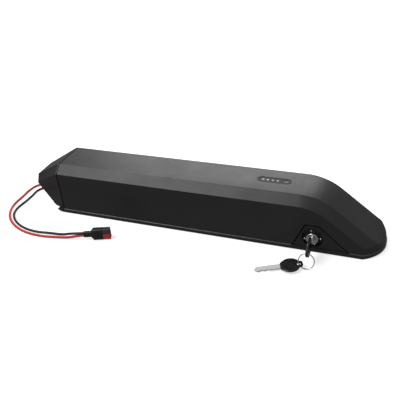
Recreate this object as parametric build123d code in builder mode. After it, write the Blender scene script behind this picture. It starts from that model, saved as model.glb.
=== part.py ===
from build123d import *
import math
import os

# E-bike battery pack on its frame cradle. X runs from tail to nose, the lock is on the -Y side and +Z is up.
# The origin is the middle of the cradle's row of frame bolts, on the cradle's underside. All sizes are in millimetres.

# Overall size
TOTAL_LENGTH = 507.0
PACK_WIDTH = 76.0
PACK_TOP = 76.5
CRADLE_HEIGHT = 6.5
SEAT_GAP = 0.4
WALL = 2.5
FIT = 0.15

# The sloped band between the top face and each side, and the nose
BAND_WIDTH = 12.0
BAND_DROP = 11.0
NOSE_ANGLE = 38.0
BEND_RADIUS = 75.0
TIP_RADIUS = 8.0
TIP_HEIGHT = 5.0
NOSE_PLAN_RADIUS = 42.0

# Tail cap and the pivot that the pack tips about
TAIL_CAP_LENGTH = 50.0
TAIL_COLLAR = 2.4
TAIL_KNEE = 19.0
TAIL_END_LOW = 35.0
TAIL_END_MID = 37.5
TAIL_END_TOP = 48.8
TAIL_END_HALF_TOP = 17.0
TAIL_END_HALF_MID = 22.5
TAIL_END_HALF_LOW = 22.0
HEEL_RADIUS = 6.0
PIVOT_SETBACK = 1.5
PIVOT_RISE = 12.1
GASKET_THICKNESS = 1.4
PIVOT_BAR_RADIUS = 2.5
HOOK_RADIUS = 6.2
HOOK_WIDTH = 8.0
HOOK_STEM = 8.0
HOOK_SPACING = 44.0
PIVOT_CLEARANCE = 0.3
LIFT_ANGLE = 8.0
HINGE_BLOCK_BACK = 9.0
HINGE_BLOCK_TOP = 29.5

# Cradle
CRADLE_FLOOR = 2.0
CRADLE_WALL = 3.0
CRADLE_PROUD = 1.0
BOLT_PITCH = 64.0
BOLT_HOLE_RADIUS = 2.75
BOLT_HEAD_RADIUS = 5.0
BOLT_BOSS_RADIUS = 7.5
BOLT_SEAT = 2.5
LIP_ANGLE = 9.0
LIP_LENGTH = 11.0
CURL_RADIUS = 22.0

# Lock boss and lock
LOCK_X = 166.0
LOCK_Z = 21.3
BOSS_LOW_LEFT = 25.0
BOSS_TOP_LEFT = 9.0
BOSS_TOP_RIGHT = 8.0
BOSS_LOW_RIGHT = 45.0
BOSS_TOP = 39.4
BOSS_DEPTH = 36.0
BOSS_CLEARANCE = 1.4
POCKET_WALL = 2.0
LOCK_RADIUS = 7.2
LOCK_COLLAR_RADIUS = 7.8
LOCK_COLLAR_PROUD = 2.5
BEZEL_RADIUS = 13.4
BEZEL_DEPTH = 5.0
BEZEL_THICKNESS = 2.0
PLUG_RADIUS = 5.5
RUNNING_CLEARANCE = 0.05
PLUG_LENGTH = 27.0
PIN_RADIUS = 3.0
PIN_TRAVEL = 7.0

# Keys
KEY_BOW_LENGTH = 28.0
KEY_BOW_WIDTH = 26.0
KEY_BOW_THICKNESS = 3.0
KEY_BLADE_LENGTH = 32.0
KEY_BLADE_WIDTH = 8.0
KEY_BLADE_THICKNESS = 2.0
KEY_HOLE_RADIUS = 2.5
KEY_HOLE_INSET = 4.5
KEY_STANDOFF = 5.0
RING_RADIUS = 9.9
RING_WIRE_RADIUS = 0.8
RING_TILT = 20.0
SPARE_RING_ANGLE = 210.0
SPARE_YAW = 202.0
SPARE_PITCH = 4.3

# Cells
CELL_RADIUS = 9.2
CELL_LENGTH = 65.0
CELL_PITCH_X = 18.8
CELL_PITCH_Z = 18.8
CELL_COUNTS = (16, 17, 19)
FIRST_COLUMN = (1, 0, 0)
CELL_START_X = -183.0
FOAM_THICKNESS = 0.8
HOLDER_DEPTH = 9.0
HOLDER_FACE = 1.0
CELL_CLEARANCE = 0.05
NICKEL_THICKNESS = 0.3
NICKEL_WIDTH = 9.0

# Indicator and button on the top face
PANEL_X = 107.5
PANEL_LENGTH = 46.0
PANEL_WIDTH = 13.0
PANEL_RECESS = 1.0
LED_COUNT = 4
LED_PITCH = 6.5
FIRST_LED_X = 92.6
LED_HOLE_RADIUS = 1.5
BUTTON_X = 123.3
BUTTON_RADIUS = 4.3
BUTTON_TRAVEL = 1.0
BUTTON_CLEARANCE = 0.2

# Charge port on the +Y side
PORT_X = 190.0
PORT_Z = 33.0
PORT_RADIUS = 7.0
PORT_DEPTH = 16.0
PORT_FLANGE_RADIUS = 9.5
PORT_BORE_RADIUS = 3.2
FLAP_RADIUS = 10.5
FLAP_THICKNESS = 2.2

# Discharge terminals
BLADE_X = -181.0
BLADE_WIDTH = 7.0
BLADE_THICKNESS = 1.0
BLADE_SPACING = 16.0
BLADE_TOP = 17.0

# Discharge leads and their plug
WIRE_RADIUS = 1.75
WIRE_EXIT_Z = 2.5
RED_EXIT_Y = 7.0
BLACK_EXIT_Y = 2.0
GROMMET_LENGTH = 13.0
PLUG_X = -139.0
PLUG_Y = -92.0
PLUG_YAW = 20.0
BOOT_LENGTH = 12.0
BOOT_WIDTH = 6.0
BOOT_HEIGHT = 9.6
SLEEVE_LENGTH = 15.0
SLEEVE_WIDTH = 9.9
SLEEVE_HEIGHT = 17.8
HOUSING_SIDE = 7.9
HOUSING_LENGTH = 24.6
HOUSING_SHOWN = 10.5
TABLE_CLEARANCE = 0.2

# Screws
SCREW_RADIUS = 1.5
SCREW_HEAD_RADIUS = 2.8
SCREW_HEAD_DEPTH = 1.5
SCREW_LENGTH = 10.0
SCREW_BOSS_RADIUS = 3.6

# Worked out from the sizes above
NOSE_X = TOTAL_LENGTH / 2
TAIL_X = -TOTAL_LENGTH / 2
SEAM_X = TAIL_X + TAIL_CAP_LENGTH
PACK_BOTTOM = CRADLE_HEIGHT + SEAT_GAP
HALF_WIDTH = PACK_WIDTH / 2
NOSE_SLOPE = math.radians(NOSE_ANGLE)
TIP_Z = PACK_BOTTOM + TIP_HEIGHT
BEND_CORNER_X = NOSE_X - (PACK_TOP - TIP_Z) / math.tan(NOSE_SLOPE)
KNEE_X = SEAM_X - TAIL_KNEE
COLLAR_X = SEAM_X - TAIL_COLLAR
TAIL_SLOPE = math.atan2(TAIL_END_LOW - PACK_BOTTOM, KNEE_X - TAIL_X)
PIVOT_X = SEAM_X - PIVOT_SETBACK
PIVOT_Z = PACK_BOTTOM + PIVOT_RISE
HEEL_X = KNEE_X + HEEL_RADIUS * math.tan(TAIL_SLOPE / 2)
HEEL_Z = PACK_BOTTOM + HEEL_RADIUS
SIDE_Y = -HALF_WIDTH
BOSS_BACK_Y = SIDE_Y + BOSS_DEPTH
POCKET_BACK_Y = BOSS_BACK_Y + BOSS_CLEARANCE
COVER_TOP = PACK_BOTTOM + WALL
HOLE_Y = SIDE_Y - LOCK_COLLAR_PROUD - KEY_STANDOFF - KEY_BOW_LENGTH + KEY_HOLE_INSET
RING_TOP_Z = LOCK_Z - KEY_HOLE_RADIUS + RING_WIRE_RADIUS + 0.1
RING_LEAN = math.radians(RING_TILT)
RING_CENTRE = Vector(
    LOCK_X,
    HOLE_Y - RING_RADIUS * math.sin(RING_LEAN),
    RING_TOP_Z - RING_RADIUS * math.cos(RING_LEAN),
)
BLOCK_END_X = SEAM_X + 9.3

os.makedirs("parts", exist_ok=True)


def save(part, name):
    """Labels one finished piece and writes it under its node's name."""
    part.label = name
    export_step(part, f"parts/{name}.step")


def band_size(inset):
    """Width and drop of the sloped band on a skin drawn in by inset on all its faces."""
    slant = math.hypot(BAND_WIDTH, BAND_DROP)
    width = BAND_WIDTH - inset + inset * (slant - BAND_WIDTH) / BAND_DROP
    drop = BAND_DROP - inset + inset * (slant - BAND_DROP) / BAND_WIDTH
    return width, drop


def draw_side_outline(drop, inset, past):
    """The pack's outline seen from the side, lowered by drop, drawn in by inset and open past its ends."""
    depth = drop + inset
    corner_x = BEND_CORNER_X - depth * math.tan(NOSE_SLOPE / 2)
    nose_x = NOSE_X - inset - drop / math.sin(NOSE_SLOPE)
    tip_z = TIP_Z + inset * (math.tan(NOSE_SLOPE) - 1 / math.cos(NOSE_SLOPE))
    back_x = SEAM_X - past
    low = PACK_BOTTOM - past
    top = PACK_TOP - depth
    with BuildLine() as outline:
        FilletPolyline(
            (back_x, top), (corner_x, top), (nose_x, tip_z), (nose_x, low),
            radius=[BEND_RADIUS - depth, TIP_RADIUS - inset],
        )
        Polyline((nose_x, low), (back_x, low), (back_x, top))
    make_face(outline.edges())


def case_form(inset, past=0.0):
    """The case as a solid: a middle slab, a sloped band on each side, and a nose rounded in plan."""
    width, drop = band_size(inset)
    half = HALF_WIDTH - inset
    flat = half - width
    with BuildPart() as form:
        with BuildSketch(Plane.XZ):
            draw_side_outline(0, inset, past)
        extrude(amount=flat, both=True)
        for side in (1, -1):
            with BuildSketch(Plane.XZ.offset(side * flat)):
                draw_side_outline(0, inset, past)
            with BuildSketch(Plane.XZ.offset(side * half)):
                draw_side_outline(drop, inset, past)
            loft(ruled=True)
        with BuildSketch(Plane.XY.offset(PACK_BOTTOM - past)):
            with Locations((NOSE_X - NOSE_PLAN_RADIUS, 0)):
                Circle(NOSE_PLAN_RADIUS - inset)
            with Locations((SEAM_X - past, 0)):
                Rectangle(
                    NOSE_X - NOSE_PLAN_RADIUS - SEAM_X + past,
                    2 * (NOSE_PLAN_RADIUS - inset),
                    align=(Align.MIN, Align.CENTER),
                )
        extrude(amount=PACK_TOP, mode=Mode.INTERSECT)
    return form.part


def draw_boss_outline(grow, low):
    """The lock boss seen from the side: upright sides that spread downwards. grow moves each side out."""
    left_x = LOCK_X - BOSS_LOW_LEFT
    left_top_x = LOCK_X - BOSS_TOP_LEFT
    right_x = LOCK_X + BOSS_LOW_RIGHT
    right_top_x = LOCK_X + BOSS_TOP_RIGHT
    height = BOSS_TOP - CRADLE_HEIGHT
    left_lean = math.atan2(left_top_x - left_x, height)
    right_lean = math.atan2(right_x - right_top_x, height)
    top = BOSS_TOP + grow
    left_shift = grow / math.cos(left_lean)
    right_shift = grow / math.cos(right_lean)

    def left_at(z):
        return left_x + (z - CRADLE_HEIGHT) * math.tan(left_lean) - left_shift

    def right_at(z):
        return right_x - (z - CRADLE_HEIGHT) * math.tan(right_lean) + right_shift

    with BuildLine() as outline:
        Polyline(
            (left_at(low), low), (left_at(top), top), (right_at(top), top), (right_at(low), low), close=True
        )
    make_face(outline.edges())


def boss_prism(grow, front, back, low):
    """The boss outline carried along Y from front to back."""
    with BuildPart() as prism:
        with BuildSketch(Plane.XZ.offset(-front)):
            draw_boss_outline(grow, low)
        extrude(amount=-(back - front))
    return prism.part


SCREW_PLACES = (
    (-182.0, HALF_WIDTH - WALL - SCREW_BOSS_RADIUS),
    (-182.0, -HALF_WIDTH + WALL + SCREW_BOSS_RADIUS),
    (LOCK_X - 18.0, HALF_WIDTH - WALL - SCREW_BOSS_RADIUS),
    (NOSE_X - 31.5, HALF_WIDTH - WALL - SCREW_BOSS_RADIUS),
    (NOSE_X - 31.5, -HALF_WIDTH + WALL + SCREW_BOSS_RADIUS),
)
TAB_WIDTH = 8.0
TAB_HEIGHT = 2.0
TAB_Y = HALF_WIDTH - WALL - TAB_WIDTH / 2
TAB_SCREW_X = SEAM_X + 5.0


def shared_form(one, other):
    """What two forms have in common."""
    with BuildPart() as common:
        add(one)
        add(other, mode=Mode.INTERSECT)
    return common.part


def make_main_case():
    """One-piece shell of top, sides and nose, with the pocket for the lock boss and the screw bosses."""
    outer = case_form(0)
    inner = case_form(WALL, 1.0)
    pocket_shell = boss_prism(BOSS_CLEARANCE + POCKET_WALL, SIDE_Y, POCKET_BACK_Y + POCKET_WALL, PACK_BOTTOM)
    pocket_wall = shared_form(pocket_shell, outer)
    pocket = boss_prism(BOSS_CLEARANCE, SIDE_Y - 1, POCKET_BACK_Y, PACK_BOTTOM - 1)
    with BuildPart() as main_case:
        add(outer)
        add(inner, mode=Mode.SUBTRACT)
        add(pocket_wall)
        for x, y in SCREW_PLACES:
            with BuildSketch(Plane.XY.offset(COVER_TOP + 0.1)):
                with Locations((x, y)):
                    Circle(SCREW_BOSS_RADIUS)
                with Locations((x, y + math.copysign(SCREW_BOSS_RADIUS / 2, y))):
                    Rectangle(2 * SCREW_BOSS_RADIUS, SCREW_BOSS_RADIUS + 1)
            extrude(amount=SCREW_LENGTH + 2)
        for side in (1, -1):
            with Locations((SEAM_X, side * TAB_Y, PACK_BOTTOM)):
                Box(BLOCK_END_X - SEAM_X, TAB_WIDTH, TAB_HEIGHT, align=(Align.MIN, Align.CENTER, Align.MIN))
        add(pocket, mode=Mode.SUBTRACT)
        with Locations(Location((LOCK_X, POCKET_BACK_Y, LOCK_Z), (90, 0, 0))):
            Cylinder(PIN_RADIUS + 0.5, 4 * POCKET_WALL, mode=Mode.SUBTRACT)
        with BuildSketch(Plane.XY.offset(PACK_TOP - PANEL_RECESS)):
            with Locations((PANEL_X, 0)):
                SlotOverall(PANEL_LENGTH, PANEL_WIDTH)
        extrude(amount=PANEL_RECESS + 1, mode=Mode.SUBTRACT)
        with BuildSketch(Plane.XY.offset(PACK_TOP - WALL - 1)):
            for i in range(LED_COUNT):
                with Locations((FIRST_LED_X + i * LED_PITCH, 0)):
                    Circle(LED_HOLE_RADIUS)
            with Locations((BUTTON_X, 0)):
                Circle(BUTTON_RADIUS + BUTTON_CLEARANCE)
        extrude(amount=WALL + 2, mode=Mode.SUBTRACT)
        with Locations(Location((PORT_X, HALF_WIDTH, PORT_Z), (90, 0, 0))):
            Cylinder(PORT_RADIUS + FIT, 4 * WALL, mode=Mode.SUBTRACT)
        for x, y in SCREW_PLACES:
            with Locations((x, y, COVER_TOP)):
                Cylinder(SCREW_RADIUS, SCREW_LENGTH, align=(Align.CENTER, Align.CENTER, Align.MIN),
                         mode=Mode.SUBTRACT)
        for side in (1, -1):
            with Locations((TAB_SCREW_X, side * TAB_Y, PACK_BOTTOM - 1)):
                Cylinder(SCREW_RADIUS, TAB_HEIGHT + 2, align=(Align.CENTER, Align.CENTER, Align.MIN),
                         mode=Mode.SUBTRACT)
    save(main_case.part, "main_case")


def make_bottom_cover():
    """Plate that closes the case from below, cut round the lock boss and over the discharge blades."""
    plug = case_form(WALL + FIT)
    notch = boss_prism(
        BOSS_CLEARANCE + POCKET_WALL + FIT, SIDE_Y - 1, POCKET_BACK_Y + POCKET_WALL + FIT, PACK_BOTTOM - 1
    )
    with BuildPart() as bottom_cover:
        with Locations((BLOCK_END_X + FIT, 0, PACK_BOTTOM)):
            Box(TOTAL_LENGTH, PACK_WIDTH, WALL, align=(Align.MIN, Align.CENTER, Align.MIN))
        add(plug, mode=Mode.INTERSECT)
        add(notch, mode=Mode.SUBTRACT)
        for side in (1, -1):
            with Locations((BLADE_X - SLOT_SHIFT, side * BLADE_SPACING / 2, PACK_BOTTOM)):
                Box(SLOT_LENGTH, SLOT_WIDTH, 4 * WALL, mode=Mode.SUBTRACT)
        for x, y in SCREW_PLACES:
            with Locations((x, y, PACK_BOTTOM)):
                Cylinder(SCREW_RADIUS + 0.1, 3 * WALL, mode=Mode.SUBTRACT)
                Cylinder(SCREW_HEAD_RADIUS, SCREW_HEAD_DEPTH, mode=Mode.SUBTRACT,
                         align=(Align.CENTER, Align.CENTER, Align.MIN))
    save(bottom_cover.part, "bottom_cover")


# The slots over the blades are longer towards the tail, where the blades swing as the pack tips.
SLOT_WIDTH = BLADE_THICKNESS + 1.0
SLOT_SWING = (PIVOT_Z - CRADLE_HEIGHT) * math.sin(math.radians(LIFT_ANGLE)) + 1.2
SLOT_LENGTH = BLADE_WIDTH + SLOT_SWING + 0.6
SLOT_SHIFT = (SLOT_SWING - 0.6) / 2


def make_screw(x, y, z, length):
    """A countersunk-style screw whose flat head faces down at height z."""
    with Locations((x, y, z)):
        Cylinder(SCREW_HEAD_RADIUS - 0.05, SCREW_HEAD_DEPTH, align=(Align.CENTER, Align.CENTER, Align.MIN))
        Cylinder(SCREW_RADIUS, length, align=(Align.CENTER, Align.CENTER, Align.MIN))
        Cylinder(1.1, 0.8, align=(Align.CENTER, Align.CENTER, Align.MIN), mode=Mode.SUBTRACT)


def make_cover_screws():
    """Screws that hold the bottom cover to the case."""
    with BuildPart() as cover_screws:
        for x, y in SCREW_PLACES:
            make_screw(x, y, PACK_BOTTOM, SCREW_LENGTH)
    save(cover_screws.part, "cover_screws")


def draw_section(half_low, low, half_mid, mid, half_top, top):
    """A six-sided section of the pack, seen along X."""
    with BuildLine() as outline:
        Polyline(
            (half_low, low), (half_mid, mid), (half_top, top), (-half_top, top), (-half_mid, mid),
            (-half_low, low), close=True,
        )
    make_face(outline.edges())


def draw_tail_underside(inset):
    """What is cut from under the tail: past the arc of the heel and along the sloped underside."""
    radius = HEEL_RADIUS - inset
    low = PACK_BOTTOM + inset
    tangent = (HEEL_X - radius * math.sin(TAIL_SLOPE), HEEL_Z - radius * math.cos(TAIL_SLOPE))
    middle = (HEEL_X - radius * math.sin(TAIL_SLOPE / 2), HEEL_Z - radius * math.cos(TAIL_SLOPE / 2))
    far_x = TAIL_X - 5
    far_z = tangent[1] + (tangent[0] - far_x) * math.tan(TAIL_SLOPE)
    with BuildLine() as outline:
        ThreePointArc((HEEL_X, low), middle, tangent)
        Polyline(tangent, (far_x, far_z), (far_x, low - 5), (HEEL_X, low - 5), (HEEL_X, low))
    make_face(outline.edges())


def tail_form(inset, start_x):
    """The tail cap as a solid: a short collar, flat faces that close in on a small end face, and a round heel."""
    width, drop = band_size(inset)
    half = HALF_WIDTH - inset
    low = PACK_BOTTOM + inset
    seam = (half, low, half, PACK_TOP - inset - drop, half - width, PACK_TOP - inset)
    end = (
        TAIL_END_HALF_LOW - inset, low, TAIL_END_HALF_MID - inset, TAIL_END_MID + inset / 4,
        TAIL_END_HALF_TOP - inset, TAIL_END_TOP - inset,
    )
    with BuildPart() as form:
        with BuildSketch(Plane.YZ.offset(start_x)):
            draw_section(*seam)
        extrude(amount=COLLAR_X - start_x)
        with BuildSketch(Plane.YZ.offset(COLLAR_X)):
            draw_section(*seam)
        with BuildSketch(Plane.YZ.offset(TAIL_X + inset)):
            draw_section(*end)
        loft(ruled=True)
        with BuildSketch(Plane.XZ):
            draw_tail_underside(inset)
        extrude(amount=PACK_WIDTH, both=True, mode=Mode.SUBTRACT)
    return form.part


def block_span(start_x, end_x, half_width, low, top):
    """A box centred across the pack."""
    with BuildPart() as span:
        with Locations((start_x, 0, low)):
            Box(end_x - start_x, 2 * half_width, top - low, align=(Align.MIN, Align.CENTER, Align.MIN))
    return span.part


def make_tail_cap():
    """Faceted end cap with the hinge block that drops over the cradle's hooks."""
    outer = tail_form(0, SEAM_X - GASKET_THICKNESS)
    hollow = tail_form(WALL, SEAM_X + 1)
    front_x = PIVOT_X - HINGE_BLOCK_BACK
    tab_top = PACK_BOTTOM + TAB_HEIGHT + 0.1
    block_half = HALF_WIDTH - WALL - FIT
    tab_half = TAB_Y - TAB_WIDTH / 2 - FIT
    upper = shared_form(block_span(front_x, SEAM_X - FIT, block_half, tab_top, HINGE_BLOCK_TOP), outer)
    lower = shared_form(block_span(front_x, SEAM_X - FIT, block_half, PACK_BOTTOM, tab_top), outer)
    with BuildPart() as tail_cap:
        add(outer)
        add(hollow, mode=Mode.SUBTRACT)
        add(upper)
        add(lower)
        add(block_span(SEAM_X - 2, BLOCK_END_X, block_half, tab_top, HINGE_BLOCK_TOP))
        add(block_span(SEAM_X - 2, BLOCK_END_X, tab_half, PACK_BOTTOM, tab_top + 1))
        for side in (1, -1):
            y = side * HOOK_SPACING / 2
            with Locations(Location((PIVOT_X, y, PIVOT_Z), (90, 0, 0))):
                Cylinder(HOOK_RADIUS + 1.0, HOOK_WIDTH + 1.0, mode=Mode.SUBTRACT)
            with Locations((PIVOT_X - 1.5, y, PIVOT_Z)):
                Box(HOOK_STEM + 7, HOOK_WIDTH + 1.0, 2 * PIVOT_RISE, mode=Mode.SUBTRACT,
                    align=(Align.CENTER, Align.CENTER, Align.MAX))
            with Locations((TAB_SCREW_X, side * TAB_Y, PACK_BOTTOM)):
                Cylinder(SCREW_RADIUS, SCREW_LENGTH, mode=Mode.SUBTRACT,
                         align=(Align.CENTER, Align.CENTER, Align.MIN))
        with Locations(Location((PIVOT_X, 0, PIVOT_Z), (90, 0, 0))):
            Cylinder(PIVOT_BAR_RADIUS, BAR_LENGTH, mode=Mode.SUBTRACT)
    save(tail_cap.part, "tail_cap")


BAR_LENGTH = HOOK_SPACING + HOOK_WIDTH + 14.0


def make_pivot_bar():
    """Steel rod across the tail cap that turns in the cradle's hooks."""
    with BuildPart() as pivot_bar:
        with Locations(Location((PIVOT_X, 0, PIVOT_Z), (90, 0, 0))):
            Cylinder(PIVOT_BAR_RADIUS, BAR_LENGTH)
    save(pivot_bar.part, "pivot_bar")


def make_tail_screws():
    """Two screws from below through the case's tabs into the tail cap."""
    with BuildPart() as tail_screws:
        for side in (1, -1):
            with Locations((TAB_SCREW_X, side * TAB_Y, PACK_BOTTOM - 0.2)):
                Cylinder(SCREW_RADIUS, SCREW_LENGTH, align=(Align.CENTER, Align.CENTER, Align.MIN))
    save(tail_screws.part, "tail_screws")


def make_tail_gasket():
    """Rubber frame squeezed between the case and the tail cap."""
    width, drop = band_size(1.2)
    inner_width, inner_drop = band_size(WALL)
    with BuildPart() as tail_gasket:
        with BuildSketch(Plane.YZ.offset(SEAM_X - GASKET_THICKNESS)):
            half = HALF_WIDTH - 1.2
            draw_section(half, 20, half, PACK_TOP - 1.2 - drop, half - width, PACK_TOP - 1.2)
        extrude(amount=GASKET_THICKNESS)
        with BuildSketch(Plane.YZ.offset(SEAM_X - GASKET_THICKNESS - 1)):
            half = HALF_WIDTH - WALL
            draw_section(half, 10, half, PACK_TOP - WALL - inner_drop, half - inner_width, PACK_TOP - WALL)
        extrude(amount=GASKET_THICKNESS + 2, mode=Mode.SUBTRACT)
    save(tail_gasket.part, "tail_gasket")


def cradle_plan(inset):
    """Plan of the cradle as a tall solid: straight sides and the nose's round end."""
    with BuildPart() as plan:
        with BuildSketch(Plane.XY.offset(-1)):
            with Locations((NOSE_X - NOSE_PLAN_RADIUS, 0)):
                Circle(NOSE_PLAN_RADIUS - inset)
            with Locations((TAIL_X, 0)):
                Rectangle(NOSE_X - NOSE_PLAN_RADIUS - TAIL_X, 2 * (NOSE_PLAN_RADIUS - inset),
                          align=(Align.MIN, Align.CENTER))
        extrude(amount=PACK_TOP)
        with BuildSketch(Plane.XY.offset(-1)):
            with Locations((TAIL_X, 0)):
                Rectangle(2 * TOTAL_LENGTH, PACK_WIDTH - 2 * inset, align=(Align.MIN, Align.CENTER))
        extrude(amount=PACK_TOP, mode=Mode.INTERSECT)
    return plan.part


def tray_hollow(tray, boss_root):
    """The space inside the cradle's walls, left solid under the lock boss."""
    with BuildPart() as hollow:
        with Locations((PIVOT_X + 14, 0, CRADLE_FLOOR)):
            Box(TOTAL_LENGTH, PACK_WIDTH, CRADLE_HEIGHT, align=(Align.MIN, Align.CENTER, Align.MIN))
        add(tray, mode=Mode.INTERSECT)
        add(boss_root, mode=Mode.SUBTRACT)
    return hollow.part


def make_cradle_base():
    """Shallow tray that bolts to the frame tube, thinning to a lip at the tail, with the lock boss on one side."""
    lip_x = PIVOT_X - LIP_LENGTH
    lip_top = (lip_x, CRADLE_HEIGHT - LIP_LENGTH * math.tan(math.radians(LIP_ANGLE)))
    turn = math.asin(LIP_LENGTH / CURL_RADIUS)
    lip_low = (lip_x, CURL_RADIUS * (1 - math.cos(turn)))
    curl_middle = (PIVOT_X - CURL_RADIUS * math.sin(turn / 2), CURL_RADIUS * (1 - math.cos(turn / 2)))
    end_x = NOSE_X + CRADLE_PROUD
    outline = cradle_plan(-CRADLE_PROUD)
    tray = cradle_plan(CRADLE_WALL)
    boss = boss_prism(0, SIDE_Y, BOSS_BACK_Y, 1.0)
    boss_root = boss_prism(CRADLE_WALL, SIDE_Y, BOSS_BACK_Y + CRADLE_WALL, 0.5)
    hollow = tray_hollow(tray, boss_root)
    with BuildPart() as cradle_base:
        with BuildSketch(Plane.XZ):
            with BuildLine():
                Line((PIVOT_X, 0), (end_x, 0))
                Line((end_x, 0), (end_x, CRADLE_HEIGHT))
                Line((end_x, CRADLE_HEIGHT), (PIVOT_X, CRADLE_HEIGHT))
                Polyline((PIVOT_X, CRADLE_HEIGHT), lip_top, lip_low)
                ThreePointArc(lip_low, curl_middle, (PIVOT_X, 0))
            make_face()
        extrude(amount=PACK_WIDTH, both=True)
        add(outline, mode=Mode.INTERSECT)
        rim = cradle_base.edges().group_by(Axis.Z)[0].sort_by(Axis.X)[1:]
        chamfer(rim.filter_by(lambda edge: edge.length < NOSE_PLAN_RADIUS * 3 or edge.length > PACK_WIDTH), 1.2)
        add(hollow, mode=Mode.SUBTRACT)
        add(boss)
        for pitch in (BOLT_PITCH, 3 * BOLT_PITCH):
            for side in (1, -1):
                with Locations((side * pitch / 2, 0, 0)):
                    Cylinder(BOLT_BOSS_RADIUS, CRADLE_HEIGHT - 0.5, align=(Align.CENTER, Align.CENTER, Align.MIN))
                    Cylinder(BOLT_HOLE_RADIUS, 3 * CRADLE_HEIGHT, mode=Mode.SUBTRACT)
                with Locations((side * pitch / 2, 0, BOLT_SEAT)):
                    Cylinder(BOLT_HEAD_RADIUS, CRADLE_HEIGHT, mode=Mode.SUBTRACT,
                             align=(Align.CENTER, Align.CENTER, Align.MIN))
        for side in (1, -1):
            with Locations((PIVOT_X, side * HOOK_SPACING / 2, 1.0)):
                Box(HOOK_STEM, HOOK_WIDTH, PIVOT_Z, mode=Mode.SUBTRACT,
                    align=(Align.CENTER, Align.CENTER, Align.MIN))
        for y in (RED_EXIT_Y, BLACK_EXIT_Y):
            with Locations(Location((PIVOT_X - 2 * LIP_LENGTH, y, WIRE_EXIT_Z), (0, 90, 0))):
                Cylinder(WIRE_RADIUS, 2 * LIP_LENGTH + 20, align=(Align.CENTER, Align.CENTER, Align.MIN),
                         mode=Mode.SUBTRACT)
        with BuildSketch(Plane.YZ.offset(GROMMET_X - GROMMET_LENGTH)):
            with Locations(((RED_EXIT_Y + BLACK_EXIT_Y) / 2, WIRE_EXIT_Z)):
                SlotOverall(GROMMET_WIDTH, GROMMET_HEIGHT)
        extrude(amount=GROMMET_LENGTH, mode=Mode.SUBTRACT)
        with Locations(Location((LOCK_X, SIDE_Y - 1, LOCK_Z), (-90, 0, 0))):
            Cylinder(LOCK_RADIUS, BOSS_DEPTH + 4, align=(Align.CENTER, Align.CENTER, Align.MIN),
                     mode=Mode.SUBTRACT)
            Cylinder(BEZEL_RADIUS + 0.3, BEZEL_DEPTH + 1, align=(Align.CENTER, Align.CENTER, Align.MIN),
                     mode=Mode.SUBTRACT)
        with Locations(Location((LOCK_X, BOSS_BACK_Y - NUT_RECESS, LOCK_Z), (-90, 0, 0))):
            Cylinder(NUT_RADIUS + 0.5, NUT_RECESS + 2, align=(Align.CENTER, Align.CENTER, Align.MIN),
                     mode=Mode.SUBTRACT)
    save(cradle_base.part, "cradle_base")


GROMMET_X = PIVOT_X - 2.0
GROMMET_FACE_X = GROMMET_X - GROMMET_LENGTH
GROMMET_WIDTH = 10.8
GROMMET_HEIGHT = 4.4
NUT_RADIUS = 11.0
NUT_RECESS = 9.0
NUT_THICKNESS = 3.0


def make_tail_hooks():
    """Two open hooks that hold the pivot bar, pushed into the cradle."""
    with BuildPart() as tail_hooks:
        for side in (1, -1):
            with BuildSketch(Plane.XZ.offset(side * HOOK_SPACING / 2)):
                with Locations((PIVOT_X, 1.0)):
                    Rectangle(HOOK_STEM, PIVOT_Z - 1.0, align=(Align.CENTER, Align.MIN))
                with Locations((PIVOT_X, PIVOT_Z)):
                    Circle(HOOK_RADIUS)
                    Circle(PIVOT_BAR_RADIUS + PIVOT_CLEARANCE, mode=Mode.SUBTRACT)
                    Rectangle(2 * PIVOT_BAR_RADIUS + 0.8, HOOK_RADIUS + 1, rotation=0, mode=Mode.SUBTRACT,
                              align=(Align.CENTER, Align.MIN))
            extrude(amount=HOOK_WIDTH / 2, both=True)
    save(tail_hooks.part, "tail_hooks")


def make_seat_pads():
    """Rubber pads that the pack sits on."""
    with BuildPart() as seat_pads:
        for x in (-140.0, -64.0, 64.0, 125.0):
            for side in (1, -1):
                with Locations((x, side * (HALF_WIDTH - CRADLE_WALL - 6), CRADLE_FLOOR)):
                    Box(18, 8, PACK_BOTTOM - 0.05 - CRADLE_FLOOR, align=(Align.CENTER, Align.CENTER, Align.MIN))
    save(seat_pads.part, "seat_pads")


def make_terminals():
    """Terminal block on the cradle with its two upright blades, and the two leads to the grommet."""
    with BuildPart() as terminal_block:
        with Locations((BLADE_X, 0, CRADLE_FLOOR)):
            Box(18, 30, 4.2, align=(Align.CENTER, Align.CENTER, Align.MIN))
        for side in (1, -1):
            with Locations((BLADE_X, side * BLADE_SPACING / 2, CRADLE_FLOOR + 1)):
                Box(BLADE_WIDTH, BLADE_THICKNESS, 10, mode=Mode.SUBTRACT,
                    align=(Align.CENTER, Align.CENTER, Align.MIN))
    save(terminal_block.part, "terminal_block")
    with BuildPart() as terminal_blades:
        for side in (1, -1):
            with Locations((BLADE_X, side * BLADE_SPACING / 2, CRADLE_FLOOR + 1)):
                Box(BLADE_WIDTH, BLADE_THICKNESS, BLADE_TOP - CRADLE_FLOOR - 1,
                    align=(Align.CENTER, Align.CENTER, Align.MIN))
    save(terminal_blades.part, "terminal_blades")
    with BuildPart() as lead_stubs:
        for y in (RED_EXIT_Y, BLACK_EXIT_Y):
            with Locations(Location((GROMMET_FACE_X + 0.2, y, WIRE_EXIT_Z), (0, 90, 0))):
                Cylinder(WIRE_RADIUS - 0.1, BLADE_X - 9.2 - GROMMET_FACE_X,
                         align=(Align.CENTER, Align.CENTER, Align.MIN))
    save(lead_stubs.part, "lead_stubs")


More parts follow.
